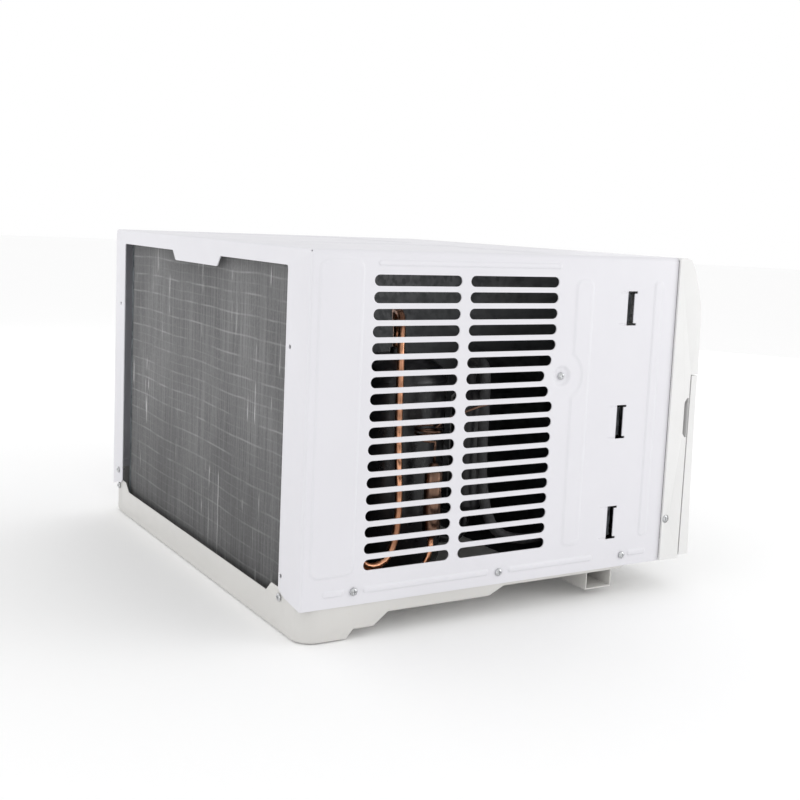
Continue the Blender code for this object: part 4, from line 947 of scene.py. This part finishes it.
@dataclass
class Cabinet:
    """The painted steel wrapper: one bent sheet with pressed ribs, louvre slots and a folded rear frame."""

    half_width: float = 0.297
    top: float = 0.388
    bottom: float = 0.036
    seam: float = -0.20425
    rear: float = 0.260
    corner: float = 0.005
    fold: float = 0.0026
    wall: float = 0.0012
    slot_rows: int = 18
    slot_top: float = 0.3646
    slot_pitch: float = 0.01668
    slot_height: float = 0.0112
    slot_columns: tuple[Span, Span] = ((0.0895, 0.1913), (-0.0345, 0.0789))
    boss: Span = (-0.0452, 0.2580)
    boss_clearance: float = 0.0232
    dish: float = 0.0022
    lances: tuple[Span, ...] = ((-0.1333, 0.331), (-0.1278, 0.2038), (-0.1238, 0.0885))
    lance_reach: Place = (-0.0125, -0.0085, 0.0015)
    lance_half: float = 0.019
    lance_bar: float = 0.0026
    clip_depth: float = 0.0052
    screws: tuple[Span, ...] = ((0.2015, 0.050), (0.025, 0.049), (-0.147, 0.0488))
    flange_holes: tuple[Span, ...] = ((0.271, 0.059), (-0.252, 0.060), (-0.2564, 0.291), (0.272, 0.289))
    slope_shares: tuple[float, ...] = (0.0, 0.2, 0.4, 0.6, 0.8, 1.0, 1.3)
    dish_rings: tuple[float, ...] = (0.0135, 0.0125, 0.0114, 0.0103, 0.0092, 0.008, 0.0068)

    def __post_init__(self) -> None:
        """Work out the lengths of the bent section."""
        self.rise = self.top - self.corner - self.bottom
        self.bend = pi / 2 * self.corner
        self.across = 2 * (self.half_width - self.corner)
        self.length = 2 * self.rise + 2 * self.bend + self.across

    def ribs(self) -> list[Rib]:
        """Everything pressed into one side."""
        bite = (self.boss[0], self.boss[1], 0.025)
        found = [
            Rib((0.2015, 0.2520), (0.0660, 0.3795), 0.010, slope=0.0030),
            Rib((-0.084, -0.057), (0.0665, 0.3630), 0.009, slope=0.0042, bite=bite, spacing=0.003),
            Rib((-0.184, -0.169), (0.0670, 0.3630), 0.007, slope=0.0034),
            Rib((-0.037, 0.1884), (0.3725, 0.3795), 0.0034, slope=0.0022, height=0.0012),
        ]
        for span in ((0.211, 0.237), (0.037, 0.1915), (-0.104, 0.013), (-0.184, -0.1545)):
            found.append(Rib(span, (0.0462, 0.0542), 0.0039, slope=0.0026, height=0.0013))
        return found + self.lance_legs()

    def top_panels(self) -> list[Rib]:
        """The two shallow panels sunk in the top, in (x, y)."""
        spans = ((-0.268, -0.030), (0.030, 0.268))
        return [Rib(span, (-0.062, 0.166), 0.020, height=-0.0014, slope=0.0060) for span in spans]

    def slots(self) -> list[Floats]:
        """The outlines of the louvre slots, the rows beside the boss cut short of it."""
        cuts = []
        radius = self.slot_height / 2
        for row in range(self.slot_rows):
            middle = self.slot_top - self.slot_pitch * row - radius
            drop = abs(middle - self.boss[1])
            for front, back in self.slot_columns:
                if drop < self.boss_clearance:
                    front = max(front, self.boss[0] + sqrt(self.boss_clearance**2 - drop**2))
                ends = [
                    arc((back - radius, middle), radius, -90.0, 90.0, 8),
                    arc((front + radius, middle), radius, 90.0, 270.0, 8),
                ]
                cuts.append(np.concatenate(ends))
        return cuts

    def lance(self, centre: Span) -> Floats:
        """One lanced opening round its middle (y, z): an upright slot with a short leg forwards at each end.

        Args:
            centre: its middle as (y, z).

        Returns:
            The outline.
        """
        front, far, near = self.lance_reach
        half, inner = self.lance_half, self.lance_half - self.lance_bar
        upper = [(near, half), (front, half), (front, inner), (far, inner)]
        lower = [(y, -z) for y, z in reversed(upper)]
        return np.array(upper + lower) + np.array(centre)

    def lance_legs(self) -> list[Rib]:
        """The legs pressed, not cut, behind each lanced opening."""
        legs = []
        for y, z in self.lances:
            for sign in (-1.0, 1.0):
                middle = z + sign * (self.lance_half - self.lance_bar / 2)
                span = (y + self.lance_reach[2] + 0.0008, y + 0.0125)
                rise = (middle - 0.0013, middle + 0.0013)
                legs.append(Rib(span, rise, 0.0012, height=-0.0006, slope=0.0009))
        return legs

    def clips(self, side: Side) -> tuple[Floats, Ints]:
        """The spring clips set behind the lanced openings: an S-curve across, carried straight up.

        Args:
            side: the cabinet side.

        Returns:
            Points and quads of all the clips.
        """
        share = np.linspace(0.0, 1.0, 13)[:, None]
        sink = self.clip_depth * share * share * (3.0 - 2.0 * share)
        blocks, shapes = [], []
        for centre_y, centre_z in self.lances:
            y = centre_y + self.lance_reach[2] + 0.0030 - share * 0.0130
            z = centre_z + np.array([[-1.0, 1.0]]) * (self.lance_half - self.lance_bar - 0.0004)
            x = side.value * (self.half_width - self.wall - 0.0001 - sink) + 0.0 * z
            outer = [x, y + 0.0 * z, z + 0.0 * y]
            inner = [outer[0] - side.value * 0.0006, outer[1] + 0.0002, outer[2]]
            ring = np.concatenate([np.stack(outer, axis=2), np.stack(inner, axis=2)[::-1]])
            quads = grid_faces(26, 2, close_rows=True)
            row = np.arange(12)
            caps = 2 * np.stack([row, 25 - row, 24 - row, row + 1], axis=1)
            shapes.append(np.concatenate([quads, caps, (caps + 1)[:, ::-1]]) + 52 * len(blocks))
            blocks.append(ring.reshape(-1, 3))
        return np.concatenate(blocks), np.concatenate(shapes)

    def side_cuts(self) -> list[Floats]:
        """The outline of every hole in one side."""
        holes = [arc(spot, 0.0022, 0.0, 330.0, 11) for spot in (*self.screws, self.boss)]
        return self.slots() + [self.lance(centre) for centre in self.lances] + holes

    def dished(self, y: Floats, z: Floats) -> Floats:
        """Depth of the screw dish: an S-curve from its rim at 12.5 mm to its floor at 8 mm."""
        rise = np.clip((0.0125 - np.hypot(y - self.boss[0], z - self.boss[1])) / 0.0045, 0.0, 1.0)
        return -self.dish * rise * rise * (3.0 - 2.0 * rise)

    def section(self, run: Floats, inset: Floats) -> tuple[Floats, Floats, Floats, Floats]:
        """The bent section: up one side, round a corner arc, across the top and down the other side.

        Args:
            run: distance along the section from the left side's foot.
            inset: distance in from the section.

        Returns:
            x, z and the outward normal's x and z.
        """
        marks = np.cumsum([self.rise, self.bend, self.across, self.bend])
        first = (run - marks[0]) / self.corner
        second = (run - marks[2]) / self.corner
        where = [run < marks[0], run < marks[1], run < marks[2], run < marks[3]]
        flat = self.half_width - self.corner
        zero, one = np.zeros_like(run), np.ones_like(run)
        normal_x = np.select(where, [-one, -np.cos(first), zero, np.sin(second)], one)
        normal_z = np.select(where, [zero, np.sin(first), one, np.cos(second)], zero)
        centre_x = np.select(where, [-flat * one, -flat * one, run - marks[1] - flat, flat * one], flat * one)
        levels = [self.bottom + run] + [(self.top - self.corner) * one] * 3
        centre_z = np.select(where, levels, self.bottom + self.length - run)
        reach = self.corner - inset
        return centre_x + normal_x * reach, centre_z + normal_z * reach, normal_x, normal_z

    def surface(self, run: Floats, depth: Floats) -> Floats:
        """The wrapper as a surface: the section carried along Y, then round the rear fold.

        Args:
            run: distance along the section.
            depth: Y up to the fold, then distance round it.

        Returns:
            Points, with the pressings lifted along the normal.
        """
        start = self.rear - self.fold
        turn = np.clip((depth - start) / self.fold, 0.0, pi / 2)
        x, z, normal_x, normal_z = self.section(run, self.fold * (1.0 - np.cos(turn)))
        y = np.minimum(depth, start) + self.fold * np.sin(turn)
        on_side = (run < self.rise) | (run > self.length - self.rise)
        lift = self.dished(y, z) + sum(rib.lift(y, z) for rib in self.ribs())
        on_top = (run > self.rise + self.bend) & (run < self.rise + self.bend + self.across)
        sunk = sum(panel.lift(x, y) for panel in self.top_panels())
        lift = np.where(on_side, lift, np.where(on_top, sunk, 0.0))
        return np.stack([x + normal_x * lift, y, z + normal_z * lift], axis=1)

    def to_domain(self, loop: Floats, side: Side) -> Floats:
        """Carry a (y, z) loop on one side to the section's (run, depth) plane."""
        rise = loop[:, 1] - self.bottom
        run = rise if side is Side.LEFT else self.length - rise
        return np.stack([run, loop[:, 0]], axis=1)

    def borders(self) -> list[tuple[Floats, bool]]:
        """The wrapper's border, its lines along the rear fold and its lines along the corner arcs."""
        start, end = self.rear - self.fold, self.rear - self.fold + self.fold * pi / 2
        marks = self.section_marks()
        rows = [np.stack([marks, np.full(len(marks), depth)], axis=1) for depth in (self.seam, end)]
        lines = [(np.concatenate([rows[0], rows[1][::-1]]), True)]
        for step in range(4):
            depth = start + self.fold * pi / 2 * step / 4
            lines.append((np.stack([marks, np.full(len(marks), depth)], axis=1), False))
        return lines + [(np.array([[mark, self.seam], [mark, end]]), False) for mark in marks[1:-1]]

    def wrapper(self) -> tuple[Floats, Ints]:
        """Triangles of the wrapper without its flange."""
        lines = self.borders()
        corner_spot = self.rise + self.bend / 2
        spots = (corner_spot, self.length - corner_spot)
        cuts = [arc((middle, self.rear - 0.0008), 0.0013, 0.0, 330.0, 11) for middle in spots]
        lines += [(cut, True) for cut in cuts]
        for panel in self.top_panels():
            for share in (-0.3, *self.slope_shares):
                loop = panel.contour(panel.slope * share)
                lines.append((loop + (self.rise + self.bend + self.across / 2, 0.0), True))
        for side in Side:
            for rib in self.ribs():
                for share in (-0.35, *self.slope_shares):
                    if rib.radius - rib.slope * share > 0.0004 or share < 0.9:
                        lines.append((self.to_domain(rib.contour(rib.slope * share), side), True))
            for radius in self.dish_rings:
                lines.append((self.to_domain(arc(self.boss, radius, 0.0, 350.0, 35), side), True))
            loops = [self.to_domain(cut, side) for cut in self.side_cuts()]
            lines += [(loop, True) for loop in loops]
            cuts += loops
        places, faces = triangulated(lines)
        middles = places[faces].mean(axis=1)
        kept = ~np.any([inside(middles, cut) for cut in cuts], axis=0)
        return self.surface(places[:, 0], places[:, 1]), faces[kept]

    def section_marks(self) -> Floats:
        """Distances along the section where its flats and the steps of its corner arcs begin."""
        first = self.rise + self.bend * np.linspace(0.0, 1.0, 6)
        second = self.rise + self.bend + self.across + self.bend * np.linspace(0.0, 1.0, 6)
        return np.concatenate([[0.0], first, second, [self.length]])

    def flange(self) -> tuple[Floats, Ints]:
        """Triangles of the folded rear frame, in the plane of the rear."""
        marks = self.section_marks()
        x, z, *_ = self.section(marks, np.full(len(marks), self.fold))
        outer = np.stack([x, z], axis=1)
        right_foot = [(0.278, 0.0405), (0.262, 0.0430), (0.257, 0.0480), (0.257, 0.3670), (0.2562, 0.3690)]
        tab_right = [(0.2545, 0.3698), (0.075, 0.3698), (0.066, 0.3592), (0.0635, 0.3582)]
        tab_left = [(-0.0635, 0.3582), (-0.066, 0.3592), (-0.075, 0.3698), (-0.2445, 0.3698)]
        left_side = [(-0.2462, 0.3690), (-0.247, 0.3670), (-0.247, 0.0460)]
        left_foot = [(-0.252, 0.0430), (-0.262, 0.0400)]
        opening = right_foot + tab_right + tab_left + left_side + left_foot
        outline = np.concatenate([outer, np.array(opening)])
        holes = [arc(spot, 0.0024, 0.0, 330.0, 11) for spot in self.flange_holes]
        places, faces = triangulated([(loop, True) for loop in (outline, *holes)])
        middles = places[faces].mean(axis=1)
        kept = inside(middles, outline) & ~np.any([inside(middles, hole) for hole in holes], axis=0)
        points = np.stack([places[:, 0], np.full(len(places), self.rear), places[:, 1]], axis=1)
        return points, faces[kept][:, ::-1]

    def build(self, shop: Workshop) -> None:
        """Make the wrapper.

        Args:
            shop: where it is delivered.
        """
        points, faces = self.wrapper()
        more, flange = self.flange()
        points, faces = welded(np.concatenate([points, more]), np.concatenate([faces, flange + len(points)]))
        solid, blocks = thickened(points, faces, self.wall)
        # The inner triangles, group 1, take the near-black painted shade of the cabinet's inside.
        mesh = mesh_of("cabinet_shell", solid, blocks, sharp=32.0, groups=(0, 1, 0))
        shop.deliver("cabinet_shell", mesh, Slot.CABINET, "chassis", ("cabinet_wrap",), ("", "inner_painted_shade"))
        for side in Side:
            points, faces = self.clips(side)
            mesh = sealed(mesh_of("clips", points, [faces]))
            shop.deliver(f"{side.name.lower()}_lance_clips", mesh, Slot.ZINC, "chassis")


# ---- Coils ----


@dataclass
class CondenserPack:
    """The condenser's fins and the copper tubes laced through them."""

    fins: int = 300
    stations: int = 12
    half_sheet: float = 0.00017
    bend_seed: int = 11
    tube_radius: float = 0.0046
    tube_pitch: float = 0.025
    tube_rows: Span = (0.2225, 0.2395)
    tubes: int = 14
    tube_sides: int = 12
    first_tube: float = 0.0185
    row_share: float = 0.9
    knocks: int = 26

    def bends(self, x: Floats, z: Floats) -> Floats:
        """Sideways set of each fin's outer edge: a small ripple plus a few knocked-over patches.

        Args:
            x: fin places, as a column.
            z: station heights, as a row.

        Returns:
            One offset for each fin and station.
        """
        rng = np.random.default_rng(self.bend_seed)
        ripple = rng.normal(0.0, 0.00010, (len(x), z.shape[1]))
        knocks = np.zeros_like(ripple)
        for _ in range(self.knocks):
            centre_x, centre_z = rng.uniform(-0.25, 0.24), rng.uniform(0.06, 0.34)
            width, height = rng.uniform(0.0015, 0.005), rng.uniform(0.006, 0.022)
            push = rng.choice([-1.0, 1.0]) * rng.uniform(0.0007, 0.0016)
            across, up = ((x - centre_x) / width) ** 2, ((z - centre_z) / height) ** 2
            knocks += push * np.exp(-across) * np.exp(-up)
        return ripple + knocks

    def build(self, shop: Workshop) -> None:
        """Make the fins and the tubes.

        Args:
            shop: where they are delivered.
        """
        low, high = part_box("condenser_fins")
        fins, tubes = self.fin_rows(low, high), self.tube_runs(low, high)
        shop.deliver("condenser_fin_rows", fins, Slot.FIN, "chassis", ("condenser_fins",), ("fin_edges",))
        shop.deliver("condenser_tubes", tubes, Slot.COPPER, "chassis")

    def fin_rows(self, low: Vector, high: Vector) -> bpy.types.Mesh:
        """Upright sheets at even steps along X, each a thin box whose rear edge is bent sideways.

        Args:
            low: the pack's low corner.
            high: its high corner.

        Returns:
            The mesh.
        """
        x = np.linspace(low.x + 0.001, high.x - 0.001, self.fins)[:, None]
        z = np.linspace(low.z, high.z, self.stations)[None, :]
        edge = self.bends(x, z)
        middle = np.broadcast_to(x, edge.shape)
        level = np.broadcast_to(z, edge.shape)
        corners = []
        for offset, y, share in ((-1, low.y, 0.0), (1, low.y, 0.0), (1, high.y, 1.0), (-1, high.y, 1.0)):
            depth = np.full(edge.shape, y) - share * np.abs(edge) * 0.4
            corners.append(np.stack([middle + offset * self.half_sheet + share * edge, depth, level], axis=2))
        points = np.stack(corners, axis=2).reshape(-1, 3)
        single = grid_faces(self.stations, 4, close_columns=True)
        caps = np.array([[3, 2, 1, 0], np.arange(4) + 4 * (self.stations - 1)])
        one = np.concatenate([single, caps])
        faces = (one[None] + np.arange(self.fins)[:, None, None] * 4 * self.stations).reshape(-1, 4)
        return mesh_of("condenser_fin_rows", points, [faces], sharp=30.0)

    def tube_runs(self, low: Vector, high: Vector) -> bpy.types.Mesh:
        """Two rows of straight tubes along X: y = row + r cos, z = level + r sin.

        Args:
            low: the pack's low corner.
            high: its high corner.

        Returns:
            The mesh.
        """
        count = self.tube_sides
        turn = np.linspace(0.0, 2 * pi, count, endpoint=False)
        levels = low.z + self.first_tube + self.tube_pitch * np.arange(self.tubes)
        blocks, shapes = [], []
        for row, y in enumerate(self.tube_rows):
            for level_z in levels + row * self.tube_pitch / 2 * self.row_share:
                across, up = self.tube_radius * np.cos(turn), self.tube_radius * np.sin(turn)
                ring = np.stack([np.zeros(count), y + across, level_z + up], axis=1)
                ends = [ring + (low.x + 0.0004, 0.0, 0.0), ring + (high.x - 0.0004, 0.0, 0.0)]
                shapes.append(grid_faces(2, count, close_columns=True)[:, ::-1] + 2 * count * len(blocks))
                blocks.append(np.concatenate(ends))
        caps = np.stack([np.arange(count) + 2 * count * index for index in range(len(blocks))])
        faces = [np.concatenate(shapes), caps, caps[:, ::-1] + count]
        return mesh_of("condenser_tubes", np.concatenate(blocks), faces)


# ---- Controls ----


@dataclass
class Knob:
    """A turned knob: a fluted skirt, a dished face and a grip bar with a painted pointer."""

    node: str
    body: str
    name: str
    ticks: int
    sweep: float
    flutes: int = 36
    face_depth: float = 0.0157

    def build(self, shop: Workshop) -> None:
        """Make the knob in the place of its CAD node.

        Args:
            shop: where it is delivered.
        """
        low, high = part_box(self.node)
        x, z = (low.x + high.x) / 2, (low.z + high.z) / 2
        front, base, tip = low.y, low.y + self.face_depth, high.y
        crown = [(0.0, 0.0044), (0.006, 0.0044), (0.0115, 0.0040), (0.0132, 0.0041), (0.0141, 0.0048)]
        skirt = [(0.0152, -0.0034), (0.0158, -0.0026), (0.0174, -0.0022), (0.0180, -0.0015), (0.0180, 0.0)]
        rows = [(radius, front + along) for radius, along in (*crown, (0.0145, 0.0060))]
        rows += [(radius, base + along) for radius, along in (*skirt, (0.0030, 0.0))]
        rows += [(radius, tip + along) for radius, along in ((0.0030, -0.0004), (0.0026, 0.0), (0.0, 0.0))]
        sides = self.flutes * 4
        points, faces = turned(np.array(rows), sides)
        turn = np.tile(np.arange(sides), len(rows)) * 2 * pi / sides
        radius = np.hypot(points[:, 0], points[:, 2])
        on_wall = (points[:, 1] > front + 0.0045) * (points[:, 1] < base - 0.002)
        fluted = np.exp(-(((radius - 0.0149) / 0.0008) ** 2)) * on_wall
        pull = 1.0 + fluted * 0.018 * np.cos(self.flutes * turn)
        points[:, 0] *= pull
        points[:, 2] *= pull
        points += (x, 0.0, z)
        mesh = sealed(mesh_of(self.name, points, [faces[:, ::-1]]))
        shop.deliver(self.name, mesh, Slot.DARK, self.body, (self.node,))
        shop.deliver(f"{self.name}_grip", self.grip(x, z, front), Slot.DARK, self.body)
        line = self.pointer(x, z, front)
        shop.deliver(f"{self.name}_pointer", line, Slot.BEZEL, self.body, (), ("pointer",))

    @staticmethod
    def grip(x: float, z: float, front: float) -> bpy.types.Mesh:
        """The grip bar: a superellipse section, waisted, and drawn in towards its crown.

        Args:
            x: the knob's middle.
            z: the knob's middle.
            front: Y of its crown.

        Returns:
            The mesh.
        """
        turn = np.linspace(0.0, 2 * pi, 40, endpoint=False)[None, :]
        level = np.linspace(0.0, 1.0, 9)[:, None]
        crown = np.sqrt(np.clip(1.0 - (1.0 - level) ** 3.0, 0.0, 1.0))
        reach = np.sign(np.sin(turn)) * np.abs(np.sin(turn)) ** 0.6 * 0.0125 * (0.86 + 0.14 * crown)
        waist = 1.0 - 0.22 * np.cos(np.clip(reach / 0.0125, -1.0, 1.0) * pi / 2) ** 2
        wide = np.sign(np.cos(turn)) * np.abs(np.cos(turn)) ** 0.6 * 0.0029 * waist * (0.35 + 0.65 * crown)
        y = front + level * 0.0052 + 0.0 * turn
        points = np.stack([x + wide, y, z + reach], axis=2).reshape(-1, 3)
        caps = np.arange(40)[None, :]
        faces = [grid_faces(9, 40, close_columns=True)[:, ::-1], caps, caps[:, ::-1] + 320]
        return sealed(mesh_of("grip", points, faces))

    @staticmethod
    def pointer(x: float, z: float, front: float) -> bpy.types.Mesh:
        """A painted line let into the top end of the grip bar."""
        across = np.array([-0.0006, 0.0006, 0.0006, -0.0006])
        along = np.array([0.0065, 0.0065, 0.0112, 0.0112])
        levels = (front + 0.00002, front + 0.0012)
        rings = [np.stack([x + across, np.full(4, y), z + along], axis=1) for y in levels]
        return sealed(mesh_of("pointer", np.concatenate(rings), [SLAB]))


@dataclass
class Controls:
    """The fascia, its knobs, button and lever, and the plain tick marks printed round the knobs."""

    tick_radius: float = 0.0215
    tick_length: float = 0.0036

    def build(self, shop: Workshop) -> None:
        """Make the controls.

        Args:
            shop: where they are delivered.
        """
        shop.refine("control_panel", Slot.BEZEL, edge=0.0007)
        for node in ("swing_button", "vent_lever"):
            shop.refine(node, Slot.DARK, edge=0.0006)
        for node in ("thermostat_body", "selector_switch", "cord_gland"):
            shop.refine(node, Slot.DARK, edge=0.0005)
        knobs = (
            Knob("temperature_knob", "temperature", "temperature_dial", ticks=11, sweep=270.0),
            Knob("mode_knob", "mode", "mode_dial", ticks=7, sweep=240.0),
        )
        for knob in knobs:
            knob.build(shop)
        for knob in knobs:
            shop.deliver(f"{knob.name}_scale", self.scale(knob), Slot.DARK, "chassis", (), ("dial_print",))

    def scale(self, knob: Knob) -> bpy.types.Mesh:
        """Tick marks on a circle round a knob, as thin raised print on the fascia.

        Args:
            knob: the knob.

        Returns:
            The mesh.
        """
        low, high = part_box(knob.node)
        middle = ((low.x + high.x) / 2, (low.z + high.z) / 2)
        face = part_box("control_panel")[0].y
        turn = np.radians(90.0 - np.linspace(-knob.sweep / 2, knob.sweep / 2, knob.ticks))[:, None]
        along = np.array([0.0, 0.0, self.tick_length, self.tick_length])[None, :] + self.tick_radius
        across = np.array([-0.00035, 0.00035, 0.00035, -0.00035])[None, :]
        x = middle[0] + along * np.cos(turn) - across * np.sin(turn)
        z = middle[1] + along * np.sin(turn) + across * np.cos(turn)
        layers = [np.stack([x, np.full_like(x, y), z], axis=2) for y in (face - 0.00012, face + 0.0002)]
        points = np.stack(layers, axis=1).reshape(-1, 3)
        faces = (SLAB[None] + np.arange(knob.ticks)[:, None, None] * 8).reshape(-1, 4)
        return sealed(mesh_of("dial_scale", points, [faces]))


# ---- The other sub-assemblies ----


@dataclass
class Front:
    """The moulded front: bezel, grille door, filter and outlet blades."""

    edge: float = 0.0009
    blade_edge: float = 0.0003
    louvres: int = 3
    vanes: int = 4

    def build(self, shop: Workshop) -> None:
        """Make the front.

        Args:
            shop: where it is delivered.
        """
        for node in ("front_bezel", "intake_grille"):
            shop.refine(node, Slot.BEZEL, edge=self.edge, sharp=25.0)
        shop.dress("air_filter", Slot.FILTER)
        for kind, count in (("louvre", self.louvres), ("vane", self.vanes)):
            for index in range(1, count + 1):
                shop.refine(f"{kind}_{index}", Slot.BEZEL, edge=self.blade_edge, sharp=50.0)
        for link in ("louvre_link", "vane_link"):
            shop.refine(link, Slot.BEZEL, edge=self.blade_edge)


@dataclass
class Base:
    """The pan, the sill rail, and the screws that hold the wrapper on."""

    pan_edge: float = 0.0004
    screw_edge: float = 0.0002
    both_sides: tuple[str, ...] = ("side_", "boss_")

    def build(self, shop: Workshop) -> None:
        """Make the base.

        Args:
            shop: where it is delivered.
        """
        shop.refine("base_pan", Slot.PAN, edge=self.pan_edge, sharp=40.0)
        shop.refine("sill_rail", Slot.PAN, edge=0.0005)
        for node in frame["nodes"]:
            if "screw" in node:
                piece = shop.refine(node, Slot.SCREW, edge=self.screw_edge, sharp=40.0)
                if node.startswith(self.both_sides):
                    twin = shop.mirror(piece, Slot.SCREW, "chassis")
                    shop.soften(twin, self.screw_edge, 40.0)


@dataclass
class Refrigeration:
    """Compressor, accumulator, drier, tubing and the end plates of the coils."""

    can_edge: float = 0.0004

    def build(self, shop: Workshop) -> None:
        """Make the sealed circuit.

        Args:
            shop: where it is delivered.
        """
        shop.refine("compressor", Slot.ENAMEL, edge=0.0006)
        shop.refine("accumulator", Slot.ENAMEL, edge=self.can_edge)
        shop.refine("filter_drier", Slot.COPPER, edge=self.can_edge, extra="dull_copper")
        for tube in ("discharge_tube", "liquid_tube"):
            shop.refine(tube, Slot.COPPER, sharp=60.0)
        shop.refine("suction_tube", Slot.RUBBER, sharp=60.0)
        shop.refine("capillary_tube", Slot.COPPER, sharp=60.0, extra="dull_copper")
        for coil in ("condenser", "evaporator"):
            for plate in ("header_plate", "return_plate"):
                shop.refine(f"{coil}_{plate}", Slot.ZINC, sharp=50.0)
        shop.dress("evaporator_fins", Slot.FIN)
        for index in (1, 2, 3):
            shop.refine(f"compressor_grommet_{index}", Slot.RUBBER, edge=self.can_edge)


@dataclass
class AirPath:
    """Fan, blower, motor, shroud, scroll, bulkhead, tray and the control box beside the duct."""

    def build(self, shop: Workshop) -> None:
        """Make the air path.

        Args:
            shop: where it is delivered.
        """
        for node, slot, edge, extra in (
            ("fan_shroud", Slot.ZINC, 0.0004, "shroud"),
            ("condenser_fan", Slot.FAN, 0.0003, ""),
            ("blower_wheel", Slot.FAN, 0.0003, ""),
            ("fan_shaft", Slot.SHAFT, 0.0004, ""),
            ("fan_motor", Slot.ENAMEL, 0.0006, ""),
            ("motor_bracket", Slot.ZINC, 0.0003, ""),
            ("bulkhead", Slot.ZINC, 0.0003, "shroud"),
            ("vent_damper", Slot.ZINC, 0.0002, ""),
            ("scroll_housing", Slot.FOAM, 0.0015, ""),
            ("drip_tray", Slot.FOAM, 0.0006, ""),
            ("control_box", Slot.ZINC, 0.0003, ""),
            ("run_capacitor", Slot.FIN, 0.0005, ""),
        ):
            shop.refine(node, slot, edge, extra=extra)


# ---- Camera and studio ----


@dataclass
class Studio:
    """A camera behind and to the left of the object, pale paper, a white surround and soft boxes."""

    place: Place = (-1.2769, 0.7526, 0.4192)
    right: Place = (-0.50469357, -0.86224112, 0.04271594)
    down: Place = (-0.13024057, 0.02713317, -0.99111109)
    forward: Place = (0.85341772, -0.50577074, -0.12599271)
    lens: float = 52.69
    shift: Span = (0.0143, -0.0418)
    surround: float = 1.0
    box_size: float = 1.5

    def camera(self) -> None:
        """Set up the camera from its three unit directions."""
        data = bpy.data.cameras.new("view")
        data.lens = self.lens
        data.sensor_width = 36.0
        data.shift_x, data.shift_y = self.shift
        data.clip_start = 0.02
        holder = bpy.data.objects.new("view", data)
        bpy.context.scene.collection.objects.link(holder)
        up, back = [-part for part in self.down], [-part for part in self.forward]
        turn = Matrix([self.right, up, back]).transposed()
        holder.matrix_world = Matrix.Translation(self.place) @ turn.to_4x4()
        bpy.context.scene.camera = holder

    def floor(self) -> None:
        """Lay the paper: a flat disc just under the object, far wider than the view."""
        radius = np.linspace(0.0, 14.0, 12)
        points, faces = turned(np.stack([radius, np.zeros(12)], axis=1), 48)
        points = points[:, [0, 2, 1]]
        points[:, 2] = -0.0004
        mesh = sealed(mesh_of("paper", points, [faces]))
        paper = bpy.data.objects.new("paper", mesh)
        bpy.context.scene.collection.objects.link(paper)
        mesh.materials.append(SeamlessPaper("paper").build())

    def softbox(self, name: str, place: Place, aim: Place, watts: float) -> None:
        """Hang one square soft box.

        Args:
            name: its name.
            place: where it hangs.
            aim: the point it faces.
            watts: its power.
        """
        data = bpy.data.lights.new(name, "AREA")
        data.shape = "SQUARE"
        data.size = self.box_size
        data.energy = watts
        holder = bpy.data.objects.new(name, data)
        bpy.context.scene.collection.objects.link(holder)
        holder.location = place
        holder.rotation_euler = (Vector(aim) - Vector(place)).to_track_quat("-Z", "Y").to_euler()

    def build(self) -> None:
        """Set up the camera, the paper, the white surround and the lights."""
        self.camera()
        self.floor()
        world = bpy.data.worlds.new("surround")
        world.use_nodes = True
        background = world.node_tree.nodes["Background"]
        background.inputs["Color"].default_value = (1.0, 1.0, 1.0, 1.0)
        background.inputs["Strength"].default_value = self.surround
        bpy.context.scene.world = world
        bpy.context.scene.view_settings.view_transform = "Standard"
        self.softbox("key", (-1.7, -2.0, 0.7), (-0.3, -0.1, 0.2), 14.0)
        self.softbox("rear", (-0.9, 2.6, 0.5), (0.0, 0.25, 0.2), 9.0)
        self.softbox("front", (1.4, -2.4, 0.6), (0.0, -0.25, 0.2), 5.0)
        self.softbox("right", (2.4, 0.9, 0.5), (0.3, 0.0, 0.2), 3.0)


def main() -> None:
    """Build every sub-assembly in order, and log the pieces."""
    logging.basicConfig(level=logging.INFO, format="%(name)s %(message)s")
    shop = Workshop()
    shop.stock()
    Studio().build()
    for assembly in (Cabinet(), CondenserPack(), Front(), Controls(), Base(), Refrigeration(), AirPath()):
        assembly.build(shop)


if __name__ == "__main__":
    main()
